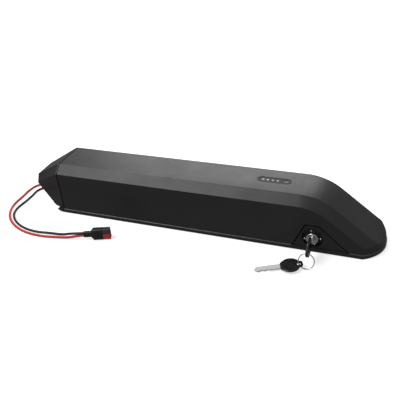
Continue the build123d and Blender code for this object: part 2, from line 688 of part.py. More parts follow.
def make_grommet():
    """Rubber strain relief where the two leads leave the cradle."""
    with BuildPart() as cable_grommet:
        with BuildSketch(Plane.YZ.offset(GROMMET_FACE_X)):
            with Locations(((RED_EXIT_Y + BLACK_EXIT_Y) / 2, WIRE_EXIT_Z)):
                SlotOverall(GROMMET_WIDTH, GROMMET_HEIGHT)
        extrude(amount=GROMMET_LENGTH)
        for y in (RED_EXIT_Y, BLACK_EXIT_Y):
            with Locations(Location((GROMMET_FACE_X - 1, y, WIRE_EXIT_Z), (0, 90, 0))):
                Cylinder(WIRE_RADIUS, 60, align=(Align.CENTER, Align.CENTER, Align.MIN), mode=Mode.SUBTRACT)
    save(cable_grommet.part, "cable_grommet")


def make_lock():
    """Lock housing, bezel and nut fixed in the boss, the turning plug and the pin it drives."""
    collar_y = SIDE_Y - LOCK_COLLAR_PROUD
    bezel_floor_y = SIDE_Y + BEZEL_DEPTH
    plug_back_y = collar_y + 0.6 + PLUG_LENGTH
    front = Location((LOCK_X, collar_y, LOCK_Z), (-90, 0, 0))
    up = (Align.CENTER, Align.CENTER, Align.MIN)
    with BuildPart() as lock_housing:
        with Locations(front):
            Cylinder(LOCK_RADIUS, BOSS_BACK_Y - 0.8 - collar_y, align=up)
            Cylinder(LOCK_COLLAR_RADIUS, bezel_floor_y - collar_y, align=up)
            Cylinder(PLUG_RADIUS + RUNNING_CLEARANCE, plug_back_y - collar_y + 0.3, align=up, mode=Mode.SUBTRACT)
            Cylinder(PIN_RADIUS + RUNNING_CLEARANCE, 2 * BOSS_DEPTH, align=up, mode=Mode.SUBTRACT)
    save(lock_housing.part, "lock_housing")
    with BuildPart() as lock_bezel:
        with Locations(Location((LOCK_X, bezel_floor_y - BEZEL_THICKNESS, LOCK_Z), (-90, 0, 0))):
            Cylinder(BEZEL_RADIUS, BEZEL_THICKNESS, align=up)
            Cylinder(LOCK_COLLAR_RADIUS + 0.05, 3 * BEZEL_THICKNESS, mode=Mode.SUBTRACT)
            with PolarLocations(BEZEL_RADIUS - 2.2, 6):
                Cylinder(1.3, 1.2, align=(Align.CENTER, Align.CENTER, Align.MAX))
    save(lock_bezel.part, "lock_bezel")
    with BuildPart() as lock_nut:
        with BuildSketch(Plane.XZ.offset(-(BOSS_BACK_Y - NUT_RECESS))):
            with Locations((LOCK_X, LOCK_Z)):
                RegularPolygon(NUT_RADIUS, 6)
                Circle(LOCK_RADIUS + 0.02, mode=Mode.SUBTRACT)
        extrude(amount=-NUT_THICKNESS)
    save(lock_nut.part, "lock_nut")
    with BuildPart() as lock_plug:
        with Locations(Location((LOCK_X, collar_y + 0.6, LOCK_Z), (-90, 0, 0))):
            Cylinder(PLUG_RADIUS, PLUG_LENGTH, align=up)
        with Locations((LOCK_X, collar_y - 1, LOCK_Z)):
            Box(KEY_BLADE_THICKNESS + 0.3, KEY_BLADE_LENGTH - KEY_STANDOFF + 1.5, KEY_BLADE_WIDTH + 0.4,
                align=(Align.CENTER, Align.MIN, Align.CENTER), mode=Mode.SUBTRACT)
    save(lock_plug.part, "lock_plug")
    with BuildPart() as lock_pin:
        with Locations(Location((LOCK_X, plug_back_y + 0.4, LOCK_Z), (-90, 0, 0))):
            Cylinder(PIN_RADIUS, BOSS_BACK_Y - 0.8 - plug_back_y - 0.4, align=up)
    save(lock_pin.part, "lock_pin")
    with BuildPart() as strike_plate:
        with Locations((LOCK_X, POCKET_BACK_Y + POCKET_WALL, LOCK_Z)):
            Box(22, 2.0, 16, align=(Align.CENTER, Align.MIN, Align.CENTER))
        with Locations(Location((LOCK_X, POCKET_BACK_Y, LOCK_Z), (90, 0, 0))):
            Cylinder(PIN_RADIUS + 0.5, 20, mode=Mode.SUBTRACT)
    save(strike_plate.part, "strike_plate")


def draw_key_bow():
    """Bow of a key lying along local X, with its ring hole at the local origin."""
    back = -KEY_HOLE_INSET
    front = KEY_BOW_LENGTH - KEY_HOLE_INSET
    half = KEY_BOW_WIDTH / 2
    with BuildLine() as outline:
        ThreePointArc((front, -half * 0.66), (front + 0.8, 0), (front, half * 0.66))
        Line((front, half * 0.66), (front - 2.5, half * 0.9))
        ThreePointArc((front - 2.5, half * 0.9), (front - 10, half), (back + 6, half * 0.6))
        ThreePointArc((back + 6, half * 0.6), (back, 0), (back + 6, -half * 0.6))
        ThreePointArc((back + 6, -half * 0.6), (front - 10, -half), (front - 2.5, -half * 0.9))
        Line((front - 2.5, -half * 0.9), (front, -half * 0.66))
    make_face(outline.edges())
    Circle(KEY_HOLE_RADIUS, mode=Mode.SUBTRACT)


def draw_key_blade():
    """Cut blade of a key lying along local X, from inside its bow to its tip."""
    front = KEY_BOW_LENGTH - KEY_HOLE_INSET
    tip = front + KEY_BLADE_LENGTH
    half = KEY_BLADE_WIDTH / 2
    cut = 1.3
    with BuildLine() as outline:
        Polyline(
            (front, -half), (tip - 3, -half), (tip, -half * 0.3), (tip, half * 0.2), (tip - 3, half),
            (tip - 6, half), (tip - 8, half - cut), (tip - 10, half - cut), (tip - 12, half),
            (tip - 14, half - 0.6), (tip - 17, half - cut), (tip - 19, half), (front, half), close=True,
        )
    make_face(outline.edges())


def make_key(plane, name):
    """A key in two pieces, its blade and the plastic bow moulded round it."""
    with BuildPart() as blade:
        with BuildSketch(plane):
            draw_key_blade()
        extrude(amount=KEY_BLADE_THICKNESS / 2, both=True)
    save(blade.part, f"{name}_blade")
    with BuildPart() as bow:
        with BuildSketch(plane):
            draw_key_bow()
        extrude(amount=KEY_BOW_THICKNESS / 2, both=True)
        add(blade.part, mode=Mode.SUBTRACT)
    save(bow.part, f"{name}_bow")


def spare_plane():
    """Plane of the spare key: its origin on the ring's wire, its X axis down towards the table."""
    angle = math.radians(SPARE_RING_ANGLE)
    hole = RING_CENTRE + Vector(
        RING_RADIUS * math.cos(angle),
        RING_RADIUS * math.sin(angle) * math.sin(RING_LEAN),
        RING_RADIUS * math.sin(angle) * math.cos(RING_LEAN),
    )
    yaw = math.radians(SPARE_YAW)
    pitch = math.radians(SPARE_PITCH)
    along = Vector(math.cos(yaw) * math.cos(pitch), math.sin(yaw) * math.cos(pitch), -math.sin(pitch))
    normal = Vector(math.cos(yaw) * math.sin(pitch), math.sin(yaw) * math.sin(pitch), math.cos(pitch))
    return Plane(origin=hole, x_dir=along, z_dir=normal)


def make_key_ring():
    """Wire ring through the bows of both keys."""
    with BuildPart() as key_ring:
        with Locations(Location(RING_CENTRE, (90 - RING_TILT, 0, 0))):
            Torus(RING_RADIUS, RING_WIRE_RADIUS)
    save(key_ring.part, "key_ring")


def cell_places():
    """Centres of the cells in the XZ plane, row by row from the bottom."""
    base_z = COVER_TOP + FOAM_THICKNESS + CELL_RADIUS
    return [
        (CELL_START_X + (FIRST_COLUMN[row] + i) * CELL_PITCH_X, base_z + row * CELL_PITCH_Z)
        for row, count in enumerate(CELL_COUNTS)
        for i in range(count)
    ]


def make_cells():
    """The cells, the two holders that space them, and the welded strips that join them."""
    places = cell_places()
    room = case_form(WALL + 0.3)
    with BuildPart() as cells:
        for x, z in places:
            with Locations(Location((x, 0, z), (90, 0, 0))):
                Cylinder(CELL_RADIUS, CELL_LENGTH)
    save(cells.part, "cells")
    for side, name in ((-1, "cell_holder_front"), (1, "cell_holder_rear")):
        outer_y = side * (CELL_LENGTH / 2 + HOLDER_FACE)
        inner_y = side * (CELL_LENGTH / 2 + HOLDER_FACE - HOLDER_DEPTH)
        with BuildPart() as holder:
            for row, count in enumerate(CELL_COUNTS):
                z = places[sum(CELL_COUNTS[:row])][1]
                x = CELL_START_X + FIRST_COLUMN[row] * CELL_PITCH_X
                with BuildSketch(Plane.XZ.offset(-outer_y)):
                    with Locations((x - CELL_PITCH_X / 2, z)):
                        Rectangle(count * CELL_PITCH_X, CELL_PITCH_Z - 0.6 * (row == 2),
                                  align=(Align.MIN, Align.CENTER))
                extrude(amount=outer_y - inner_y)
            for x, z in places:
                with Locations(Location((x, 0, z), (90, 0, 0))):
                    Cylinder(CELL_RADIUS + CELL_CLEARANCE, CELL_LENGTH, mode=Mode.SUBTRACT)
                    Cylinder(CELL_RADIUS - 2.5, CELL_LENGTH + 10, mode=Mode.SUBTRACT)
            add(room, mode=Mode.INTERSECT)
        save(holder.part, name)
        with BuildPart() as strips:
            for row, count in enumerate(CELL_COUNTS):
                z = places[sum(CELL_COUNTS[:row])][1]
                x = CELL_START_X + FIRST_COLUMN[row] * CELL_PITCH_X
                with Locations((x - 6, outer_y, z)):
                    Box((count - 1) * CELL_PITCH_X + 12, NICKEL_THICKNESS, NICKEL_WIDTH,
                        align=(Align.MIN, Align.MIN if side > 0 else Align.MAX, Align.CENTER))
        save(strips.part, name.replace("cell_holder", "nickel_strips"))
    with BuildPart() as foam_pads:
        for x in (-130.0, -40.0, 50.0):
            with Locations((x, 0, COVER_TOP)):
                Box(60, 46, FOAM_THICKNESS, align=(Align.CENTER, Align.CENTER, Align.MIN))
    save(foam_pads.part, "foam_pads")
    with BuildPart() as insulation:
        for side in (1, -1):
            with Locations((-20, side * 34.6, 38)):
                Box(300, 0.4, 46)
    save(insulation.part, "insulation_sheets")


BOARD_Z = 14.0
BOARD_THICKNESS = 1.6
BOARD_START_X = LOCK_X - 11
BOARD_LENGTH = 62.0
BOARD_WIDTH = 26.0
BOARD_Y = POCKET_BACK_Y + POCKET_WALL + 5 + BOARD_WIDTH / 2


def make_electronics():
    """Battery management board and its parts, the fuse and the leads to the discharge socket."""
    with BuildPart() as bms_board:
        with Locations((BOARD_START_X, BOARD_Y, BOARD_Z)):
            Box(BOARD_LENGTH, BOARD_WIDTH, BOARD_THICKNESS, align=(Align.MIN, Align.CENTER, Align.MIN))
    save(bms_board.part, "bms_board")
    top = BOARD_Z + BOARD_THICKNESS
    with BuildPart() as bms_parts:
        for i in range(6):
            with Locations((BOARD_START_X + 8 + i * 7.5, BOARD_Y + 7, top)):
                Box(5, 6, 2.3, align=(Align.CENTER, Align.CENTER, Align.MIN))
        for i in range(3):
            with Locations((BOARD_START_X + 10 + i * 12, BOARD_Y - 6, top)):
                Box(9, 9, 1.4, align=(Align.CENTER, Align.CENTER, Align.MIN))
        with Locations((BOARD_START_X + 50, BOARD_Y - 7, top)):
            Cylinder(4, 7, align=(Align.CENTER, Align.CENTER, Align.MIN))
    save(bms_parts.part, "bms_parts")
    with BuildPart() as board_posts:
        for dx in (4, BOARD_LENGTH - 4):
            with Locations((BOARD_START_X + dx, BOARD_Y - 10, COVER_TOP)):
                Cylinder(2.5, BOARD_Z - COVER_TOP, align=(Align.CENTER, Align.CENTER, Align.MIN))
    save(board_posts.part, "board_posts")
    with BuildPart() as fuse:
        with Locations((LOCK_X - 24, BOARD_Y, 34)):
            Box(20, 6, 12)
        with Locations((LOCK_X - 24, BOARD_Y, 42)):
            Box(16, 4, 4)
    save(fuse.part, "fuse")
    for name, y in (("pack_lead_positive", 16.0), ("pack_lead_negative", 22.0)):
        lead_z = PACK_TOP - WALL - 5.8
        drop_x = LOCK_X + 5
        with BuildPart() as lead:
            with BuildLine():
                FilletPolyline(
                    (SEAM_X + 6, y, PACK_BOTTOM + 24.5), (SEAM_X + 6, y, lead_z), (drop_x, y, lead_z),
                    (drop_x, y, top + 2.7), radius=6,
                )
            with BuildSketch(Plane((SEAM_X + 6, y, PACK_BOTTOM + 24.5), z_dir=(0, 0, 1))):
                Circle(1.6)
            sweep()
        save(lead.part, name)


def make_discharge_socket():
    """Socket block in the pack with a spring contact over each blade."""
    with BuildPart() as socket:
        with Locations((BLADE_X - 1, 0, COVER_TOP)):
            Box(17, 2 * 14.0, 10.5, align=(Align.CENTER, Align.CENTER, Align.MIN))
        for side in (1, -1):
            with Locations((BLADE_X - SLOT_SHIFT, side * BLADE_SPACING / 2, COVER_TOP - 1)):
                Box(SLOT_LENGTH, 4.2, 9.6, mode=Mode.SUBTRACT, align=(Align.CENTER, Align.CENTER, Align.MIN))
    save(socket.part, "discharge_socket")
    with BuildPart() as contacts:
        for side in (1, -1):
            for face in (1, -1):
                y = side * BLADE_SPACING / 2 + face * 1.6
                with Locations((BLADE_X - SLOT_SHIFT, y, COVER_TOP + 0.2)):
                    Box(SLOT_LENGTH - 1, 0.8, 7.6, align=(Align.CENTER, Align.CENTER, Align.MIN))
    save(contacts.part, "socket_contacts")


def make_indicator():
    """Smoked lens, light guides, board with LEDs and switch, and the round power button."""
    with BuildPart() as lens:
        with BuildSketch(Plane.XY.offset(PACK_TOP - PANEL_RECESS)):
            with Locations((PANEL_X, 0)):
                SlotOverall(PANEL_LENGTH - 0.4, PANEL_WIDTH - 0.4)
            with Locations((BUTTON_X, 0)):
                Circle(BUTTON_RADIUS + BUTTON_CLEARANCE, mode=Mode.SUBTRACT)
        extrude(amount=PANEL_RECESS - 0.3)
    save(lens.part, "indicator_lens")
    board_z = PACK_TOP - WALL - 7.0
    with BuildPart() as guides:
        for i in range(LED_COUNT):
            with Locations((FIRST_LED_X + i * LED_PITCH, 0, board_z + 3.0)):
                Cylinder(LED_HOLE_RADIUS - 0.1, PACK_TOP - PANEL_RECESS - board_z - 3.0,
                         align=(Align.CENTER, Align.CENTER, Align.MIN))
    save(guides.part, "light_guides")
    with BuildPart() as board:
        with Locations((PANEL_X, 0, board_z)):
            Box(PANEL_LENGTH + 2, 17, 1.4, align=(Align.CENTER, Align.CENTER, Align.MIN))
    save(board.part, "indicator_board")
    top = board_z + 1.4
    with BuildPart() as leds:
        for i in range(LED_COUNT):
            with Locations((FIRST_LED_X + i * LED_PITCH, 0, top)):
                Box(3.0, 1.8, 1.2, align=(Align.CENTER, Align.CENTER, Align.MIN))
    save(leds.part, "leds")
    with BuildPart() as switch_body:
        with Locations((BUTTON_X, 0, top)):
            Box(6, 6, 2.6, align=(Align.CENTER, Align.CENTER, Align.MIN))
        with Locations((BUTTON_X, 0, top + 0.6)):
            Cylinder(1.8, 6, mode=Mode.SUBTRACT, align=(Align.CENTER, Align.CENTER, Align.MIN))
    save(switch_body.part, "switch_body")
    stem_z = top + 3.9
    with BuildPart() as plunger:
        with Locations((BUTTON_X, 0, stem_z - 1.9)):
            Cylinder(1.6, 1.9, align=(Align.CENTER, Align.CENTER, Align.MIN))
    save(plunger.part, "switch_plunger")
    with BuildPart() as button:
        with Locations((BUTTON_X, 0, stem_z)):
            Cylinder(BUTTON_RADIUS, PACK_TOP - 0.1 - stem_z, align=(Align.CENTER, Align.CENTER, Align.MIN))
            Cylinder(BUTTON_RADIUS + 1.0, PACK_TOP - WALL - 0.1 - stem_z,
                     align=(Align.CENTER, Align.CENTER, Align.MIN))
    save(button.part, "power_button")


def make_charge_port():
    """Round charge socket with its centre pin, and the rubber flap hinged on a small pin beside it."""
    out = (Align.CENTER, Align.CENTER, Align.MIN)
    face = Location((PORT_X, HALF_WIDTH, PORT_Z), (-90, 0, 0))
    hinge_x = PORT_X - FLAP_RADIUS - 2.6
    with BuildPart() as port:
        with Locations(face):
            Cylinder(PORT_FLANGE_RADIUS, 1.2, align=out)
            Cylinder(PORT_RADIUS, PORT_DEPTH, align=(Align.CENTER, Align.CENTER, Align.MAX))
        with Locations(Location((PORT_X, HALF_WIDTH - PORT_DEPTH + 3, PORT_Z), (-90, 0, 0))):
            Cylinder(PORT_BORE_RADIUS, PORT_DEPTH + 5, align=out, mode=Mode.SUBTRACT)
    save(port.part, "charge_port")
    with BuildPart() as pin:
        with Locations(Location((PORT_X, HALF_WIDTH - PORT_DEPTH + 3, PORT_Z), (-90, 0, 0))):
            Cylinder(1.0, PORT_DEPTH - 5, align=out)
    save(pin.part, "charge_pin")
    with BuildPart() as bracket:
        for side in (1, -1):
            with Locations((hinge_x, HALF_WIDTH, PORT_Z + side * 5.5)):
                Box(4.4, 4.6, 2.0, align=(Align.CENTER, Align.MIN, Align.CENTER))
        with Locations((hinge_x, HALF_WIDTH + 2.6, PORT_Z)):
            Cylinder(1.0, 20, mode=Mode.SUBTRACT)
    save(bracket.part, "flap_ears")
    with BuildPart() as hinge_pin:
        with Locations((hinge_x, HALF_WIDTH + 2.6, PORT_Z)):
            Cylinder(1.0, 13)
    save(hinge_pin.part, "flap_pin")
    with BuildPart() as flap:
        with Locations(Location((PORT_X, HALF_WIDTH + 1.4, PORT_Z), (-90, 0, 0))):
            Cylinder(FLAP_RADIUS, FLAP_THICKNESS, align=out)
        with Locations(Location((PORT_X, HALF_WIDTH - 0.8, PORT_Z), (-90, 0, 0))):
            Cylinder(PORT_BORE_RADIUS - 1.0, 2.5, align=out)
        with Locations((hinge_x, HALF_WIDTH + 1.4, PORT_Z)):
            Box(FLAP_RADIUS, FLAP_THICKNESS, 8, align=(Align.MIN, Align.MIN, Align.CENTER))
        with Locations((hinge_x, HALF_WIDTH + 2.6, PORT_Z)):
            Cylinder(2.1, 8)
            Cylinder(1.0 + RUNNING_CLEARANCE, 12, mode=Mode.SUBTRACT)
    save(flap.part, "charge_flap")


# Each discharge lead from the grommet to the boot of its plug, as corners of its route on the table.
LEAD_Z = WIRE_RADIUS + 0.1
PLUG_ALONG = Vector(math.cos(math.radians(PLUG_YAW)), math.sin(math.radians(PLUG_YAW)), 0)
PLUG_ACROSS = Vector(-PLUG_ALONG.Y, PLUG_ALONG.X, 0)
PLUG_START = Vector(PLUG_X, PLUG_Y, 0)
LEAD_PITCH = 2 * WIRE_RADIUS + 0.4
PLUG_Z = TABLE_CLEARANCE + SLEEVE_HEIGHT / 2


def boot_entry(side):
    """Where a lead goes into the boot; side is 1 for the upper lead."""
    return PLUG_START + Vector(0, 0, PLUG_Z + side * LEAD_PITCH / 2)


RED_ROUTE = [
    (GROMMET_FACE_X, RED_EXIT_Y, WIRE_EXIT_Z),
    (-239.0, 9.5, 2.2),
    (-256.0, 17.0, LEAD_Z),
    (-274.0, 25.8, LEAD_Z),
    (-292.4, 19.8, LEAD_Z),
    (-296.2, 0.0, LEAD_Z),
    (-294.6, -18.0, LEAD_Z),
    (-295.4, -37.0, LEAD_Z),
    (-290.2, -57.0, LEAD_Z),
    (-278.0, -75.5, LEAD_Z),
    (-258.5, -90.5, LEAD_Z),
    (-234.0, -100.5, LEAD_Z),
    (-206.0, -103.2, LEAD_Z),
    (-180.0, -99.4, LEAD_Z),
    (-162.0, -97.6, 3.4),
]
BLACK_ROUTE = [
    (GROMMET_FACE_X, BLACK_EXIT_Y, WIRE_EXIT_Z),
    (-237.5, 3.6, 2.2),
    (-253.0, 11.4, LEAD_Z),
    (-270.0, 18.4, LEAD_Z),
    (-283.0, 6.0, LEAD_Z),
    (-280.6, -13.0, LEAD_Z),
    (-281.4, -32.0, LEAD_Z),
    (-283.4, -48.0, LEAD_Z),
    (-278.6, -65.0, LEAD_Z),
    (-264.0, -80.5, LEAD_Z),
    (-243.0, -91.5, LEAD_Z),
    (-218.0, -96.0, LEAD_Z),
    (-193.0, -92.8, LEAD_Z),
    (-175.0, -93.6, 3.2),
    (-160.0, -94.6, 8.2),
]


def corner_radii(route):
    """The largest arc each corner takes: 0.45 of its shorter run over the tangent of half its turn."""
    points = [Vector(*point) for point in route]
    radii = []
    for before, corner, after in zip(points, points[1:], points[2:]):
        turn = (corner - before).get_angle(after - corner)
        shorter = min((corner - before).length, (after - corner).length)
        radii.append(0.45 * shorter / math.tan(math.radians(turn) / 2))
    return radii


def make_lead(route, end, name):
    """One lead as a tube of straight runs and tangent arcs."""
    points = [Vector(*point) for point in route]
    points.append(end - PLUG_ALONG * 9.0)
    points.append(end)
    radii = corner_radii(points)
    print(name, "radii", [round(radius) for radius in radii])
    with BuildPart() as lead:
        with BuildLine() as path:
            FilletPolyline(*points, radius=radii)
        with BuildSketch(Plane(points[0], z_dir=points[1] - points[0])):
            Circle(WIRE_RADIUS)
        sweep()
    section = math.pi * WIRE_RADIUS**2
    length = path.wires()[0].length
    print(name, "length", round(length, 1), "volume over section", round(lead.part.volume / section, 1))
    save(lead.part, name)


def plug_plane(distance, across=0.0):
    """Plane square to the plug's axis, at a distance from the boot's mouth."""
    origin = PLUG_START + PLUG_ALONG * distance + PLUG_ACROSS * across
    return Plane(origin=origin, x_dir=PLUG_ACROSS, z_dir=PLUG_ALONG)


def make_plug():
    """Boot, sleeve, two square housings one above the other and their contacts."""
    stack = PLUG_Z - HOUSING_SIDE
    housing_start = BOOT_LENGTH + SLEEVE_LENGTH + HOUSING_SHOWN - HOUSING_LENGTH
    shoulder = 3.5
    with BuildPart() as boot:
        with BuildSketch(plug_plane(0)):
            with Locations((0, PLUG_Z)):
                RectangleRounded(BOOT_WIDTH, BOOT_HEIGHT, BOOT_WIDTH / 2 - 0.1)
        extrude(amount=BOOT_LENGTH)
    save(boot.part, "connector_boot")
    with BuildPart() as sleeve:
        with BuildSketch(plug_plane(BOOT_LENGTH)):
            with Locations((0, PLUG_Z)):
                RectangleRounded(SLEEVE_WIDTH - 2.4, SLEEVE_HEIGHT - 5, 3)
        with BuildSketch(plug_plane(BOOT_LENGTH + shoulder)):
            with Locations((0, PLUG_Z)):
                RectangleRounded(SLEEVE_WIDTH, SLEEVE_HEIGHT, 3)
        loft(ruled=True)
        with BuildSketch(plug_plane(BOOT_LENGTH + shoulder)):
            with Locations((0, PLUG_Z)):
                RectangleRounded(SLEEVE_WIDTH, SLEEVE_HEIGHT, 3)
        extrude(amount=SLEEVE_LENGTH - shoulder)
        with BuildSketch(plug_plane(housing_start)):
            with Locations((0, PLUG_Z)):
                Rectangle(HOUSING_SIDE, 2 * HOUSING_SIDE)
        extrude(amount=HOUSING_LENGTH, mode=Mode.SUBTRACT)
    save(sleeve.part, "connector_sleeve")
    for name, level in (("connector_housing_red", 0), ("connector_housing_black", 1)):
        middle_z = stack + (level + 0.5) * HOUSING_SIDE
        with BuildPart() as housing:
            with BuildSketch(plug_plane(housing_start)):
                with Locations((0, middle_z)):
                    Rectangle(HOUSING_SIDE, HOUSING_SIDE)
            extrude(amount=HOUSING_LENGTH)
            with BuildSketch(plug_plane(housing_start + 6)):
                with Locations((0, middle_z)):
                    Rectangle(HOUSING_SIDE - 3.2, HOUSING_SIDE - 2.4)
            extrude(amount=HOUSING_LENGTH, mode=Mode.SUBTRACT)
        save(housing.part, name)
    with BuildPart() as contacts:
        for level in (0, 1):
            with BuildSketch(plug_plane(housing_start + 6)):
                with Locations((-1.6, stack + (level + 0.5) * HOUSING_SIDE)):
                    Rectangle(1.4, 4.6)
            extrude(amount=HOUSING_LENGTH - 9)
    save(contacts.part, "connector_contacts")


make_main_case()
make_bottom_cover()
make_cover_screws()
make_tail_cap()
make_pivot_bar()
make_tail_screws()
make_tail_gasket()
make_cradle_base()
make_tail_hooks()
make_seat_pads()
make_terminals()
make_grommet()
make_lock()
make_key(Plane(origin=(LOCK_X, HOLE_Y, LOCK_Z), x_dir=(0, 1, 0), z_dir=(1, 0, 0)), "key")
make_key(spare_plane(), "spare_key")
make_key_ring()
make_cells()
make_electronics()
make_discharge_socket()
make_indicator()
make_charge_port()
make_lead(RED_ROUTE, boot_entry(-1), "lead_red")
make_lead(BLACK_ROUTE, boot_entry(1), "lead_black")
make_plug()
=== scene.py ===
import logging
import math
from dataclasses import dataclass, field
from enum import Enum

import bmesh
import bpy
import numpy as np
from mathutils import Matrix, Vector


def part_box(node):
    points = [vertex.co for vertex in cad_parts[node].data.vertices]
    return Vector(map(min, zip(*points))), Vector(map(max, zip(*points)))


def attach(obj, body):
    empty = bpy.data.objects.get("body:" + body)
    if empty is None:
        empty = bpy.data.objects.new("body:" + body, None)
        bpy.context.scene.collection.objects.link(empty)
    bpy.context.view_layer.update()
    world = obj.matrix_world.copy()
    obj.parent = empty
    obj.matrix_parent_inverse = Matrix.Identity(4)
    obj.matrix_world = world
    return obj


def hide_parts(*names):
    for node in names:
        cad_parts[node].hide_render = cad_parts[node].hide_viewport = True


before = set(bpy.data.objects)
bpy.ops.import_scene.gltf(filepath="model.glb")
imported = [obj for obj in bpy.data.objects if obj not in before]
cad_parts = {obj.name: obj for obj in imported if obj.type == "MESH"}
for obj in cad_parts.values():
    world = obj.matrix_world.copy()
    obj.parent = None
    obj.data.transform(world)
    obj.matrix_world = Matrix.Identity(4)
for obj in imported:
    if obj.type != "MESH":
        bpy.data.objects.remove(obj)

# Finishes, lights and finely made pieces of an e-bike battery pack on its cradle, in metres, in the frame of the CAD.
# +X runs from the tail cap to the nose, the lock is on the -Y side and the underside of the cradle is at z = 0.

log = logging.getLogger("battery_pack")
MM = 0.001
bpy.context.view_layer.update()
WELD = 2e-6
CAD_WELD = 4e-6
FLAT_ANGLE = 0.6
MOULDED_ANGLE = 30.0
SMEARS_PER_PATCH = 1.7
ALONG = Vector((1, 0, 0))
INWARD = Vector((0, 1, 0))
UP = Vector((0, 0, 1))
Colour = tuple[float, float, float]
Place = tuple[float, float, float]
Profile = list[tuple[float, float]]


class Body(str, Enum):
    """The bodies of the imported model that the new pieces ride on."""

    CRADLE = "cradle"
    PACK = "pack"
    LOCK_PLUG = "lock_plug"
    KEY_RING = "key_ring"
    SPARE_KEY = "spare_key"
    BUTTON = "power_button"
    FLAP = "charge_flap"


# ---------------------------------------------------------------- surfaces


def grid_faces(rows: int, columns: int, wrap_rows: bool, wrap_columns: bool) -> np.ndarray:
    """Quads between neighbouring rows and columns of a grid of points.

    Args:
        rows: how many rows of points there are.
        columns: how many points a row has.
        wrap_rows: whether the last row joins the first.
        wrap_columns: whether each row's last point joins its first.

    Returns:
        An array of four point numbers a face.
    """
    i, j = np.meshgrid(
        np.arange(rows if wrap_rows else rows - 1), np.arange(columns if wrap_columns else columns - 1), indexing="ij"
    )
    down, along = (i + 1) % rows, (j + 1) % columns
    corners = (i * columns + j, down * columns + j, down * columns + along, i * columns + along)
    return np.stack(corners, -1).reshape(-1, 4)


def make_skin(
    name: str, points: np.ndarray, wrap_rows: bool = False, wrap_columns: bool = True, caps: bool = False,
    sharp: float = 35.0,
) -> bpy.types.Object:
    """Makes one mesh object from a grid of points.

    Args:
        name: the piece's name.
        points: array of rows by columns by three, in metres.
        wrap_rows: whether the last row joins the first.
        wrap_columns: whether each row's last point joins its first.
        caps: whether the first and last rows are filled with a face.
        sharp: edges that turn by more than this many degrees stay sharp.

    Returns:
        The new object, with its faces pointing outwards.
    """
    rows, columns, _ = points.shape
    faces = grid_faces(rows, columns, wrap_rows, wrap_columns).tolist()
    if caps:
        faces.append(list(range(columns)))
        faces.append(list(range((rows - 1) * columns, rows * columns)))
    mesh = bpy.data.meshes.new(name)
    mesh.from_pydata(points.reshape(-1, 3).tolist(), [], faces)
    return finish_mesh(name, mesh, sharp)


def finish_mesh(name: str, mesh: bpy.types.Mesh, sharp: float, recalculate: bool = True) -> bpy.types.Object:
    """Welds a mesh, points its faces outwards, smooths it and links an object for it.

    Args:
        name: the piece's name.
        mesh: the mesh to finish.
        sharp: edges that turn by more than this many degrees stay sharp.
        recalculate: whether face directions are worked out again.

    Returns:
        The linked object.
    """
    work = bmesh.new()
    work.from_mesh(mesh)
    bmesh.ops.remove_doubles(work, verts=work.verts, dist=WELD)
    if recalculate:
        bmesh.ops.recalc_face_normals(work, faces=work.faces)
    for face in work.faces:
        face.smooth = True
    work.to_mesh(mesh)
    work.free()
    mesh.set_sharp_from_angle(angle=math.radians(sharp))
    piece = bpy.data.objects.new(name, mesh)
    bpy.context.scene.collection.objects.link(piece)
    return piece


def turned(profile: Profile, centre: Vector, axis: Vector, side: Vector, steps: int = 64) -> np.ndarray:
    """Points of a turned form: each profile point (radius, height) is carried round the axis.

    Point (i, j) = centre + axis * height_i + radius_i * (side * cos(angle_j) + third * sin(angle_j)).

    Args:
        profile: radius and height along the axis of each profile point, in millimetres.
        centre: the axis's zero point in metres.
        axis: unit vector along the axis.
        side: unit vector square to the axis.
        steps: points round the axis.

    Returns:
        An array of rows by steps by three.
    """
    a, s = np.array(axis), np.array(side)
    t = np.cross(a, s)
    angle = np.linspace(0, 2 * np.pi, steps, endpoint=False)
    ring = np.cos(angle)[:, None] * s + np.sin(angle)[:, None] * t
    radii, heights = np.array(profile).T * MM
    return np.array(centre) + heights[:, None, None] * a + radii[:, None, None] * ring[None]


def rounded_section(half_width: np.ndarray, half_height: np.ndarray, power: float, steps: int) -> np.ndarray:
    """A row of superellipses: |x / half_width| ** power + |y / half_height| ** power = 1.

    Args:
        half_width: one value a row, in millimetres.
        half_height: one value a row, in millimetres.
        power: 2 is an ellipse and larger values are squarer.
        steps: points round each one.

    Returns:
        An array of rows by steps by two, in metres.
    """
    angle = np.linspace(0, 2 * np.pi, steps, endpoint=False)
    c, s = np.cos(angle), np.sin(angle)
    x = np.sign(c) * np.abs(c) ** (2 / power)
    y = np.sign(s) * np.abs(s) ** (2 / power)
    return np.stack([half_width[:, None] * x, half_height[:, None] * y], -1) * MM


def tube_points(path: np.ndarray, radii: np.ndarray, steps: int = 12) -> np.ndarray:
    """A round section carried along a path: each ring lies square to the path, turned by the least amount.

    Args:
        path: points of the centre line, in metres.
        radii: one radius a point, in metres.
        steps: points round each ring.

    Returns:
        An array of path points by steps by three.
    """
    tangent = np.gradient(path, axis=0)
    tangent /= np.linalg.norm(tangent, axis=1)[:, None]
    first = np.cross(tangent, [0.0, 0.0, 1.0])
    first /= np.linalg.norm(first, axis=1)[:, None]
    second = np.cross(tangent, first)
    angle = np.linspace(0, 2 * np.pi, steps, endpoint=False)
    ring = np.cos(angle)[None, :, None] * first[:, None] + np.sin(angle)[None, :, None] * second[:, None]
    return path[:, None] + ring * radii[:, None, None]


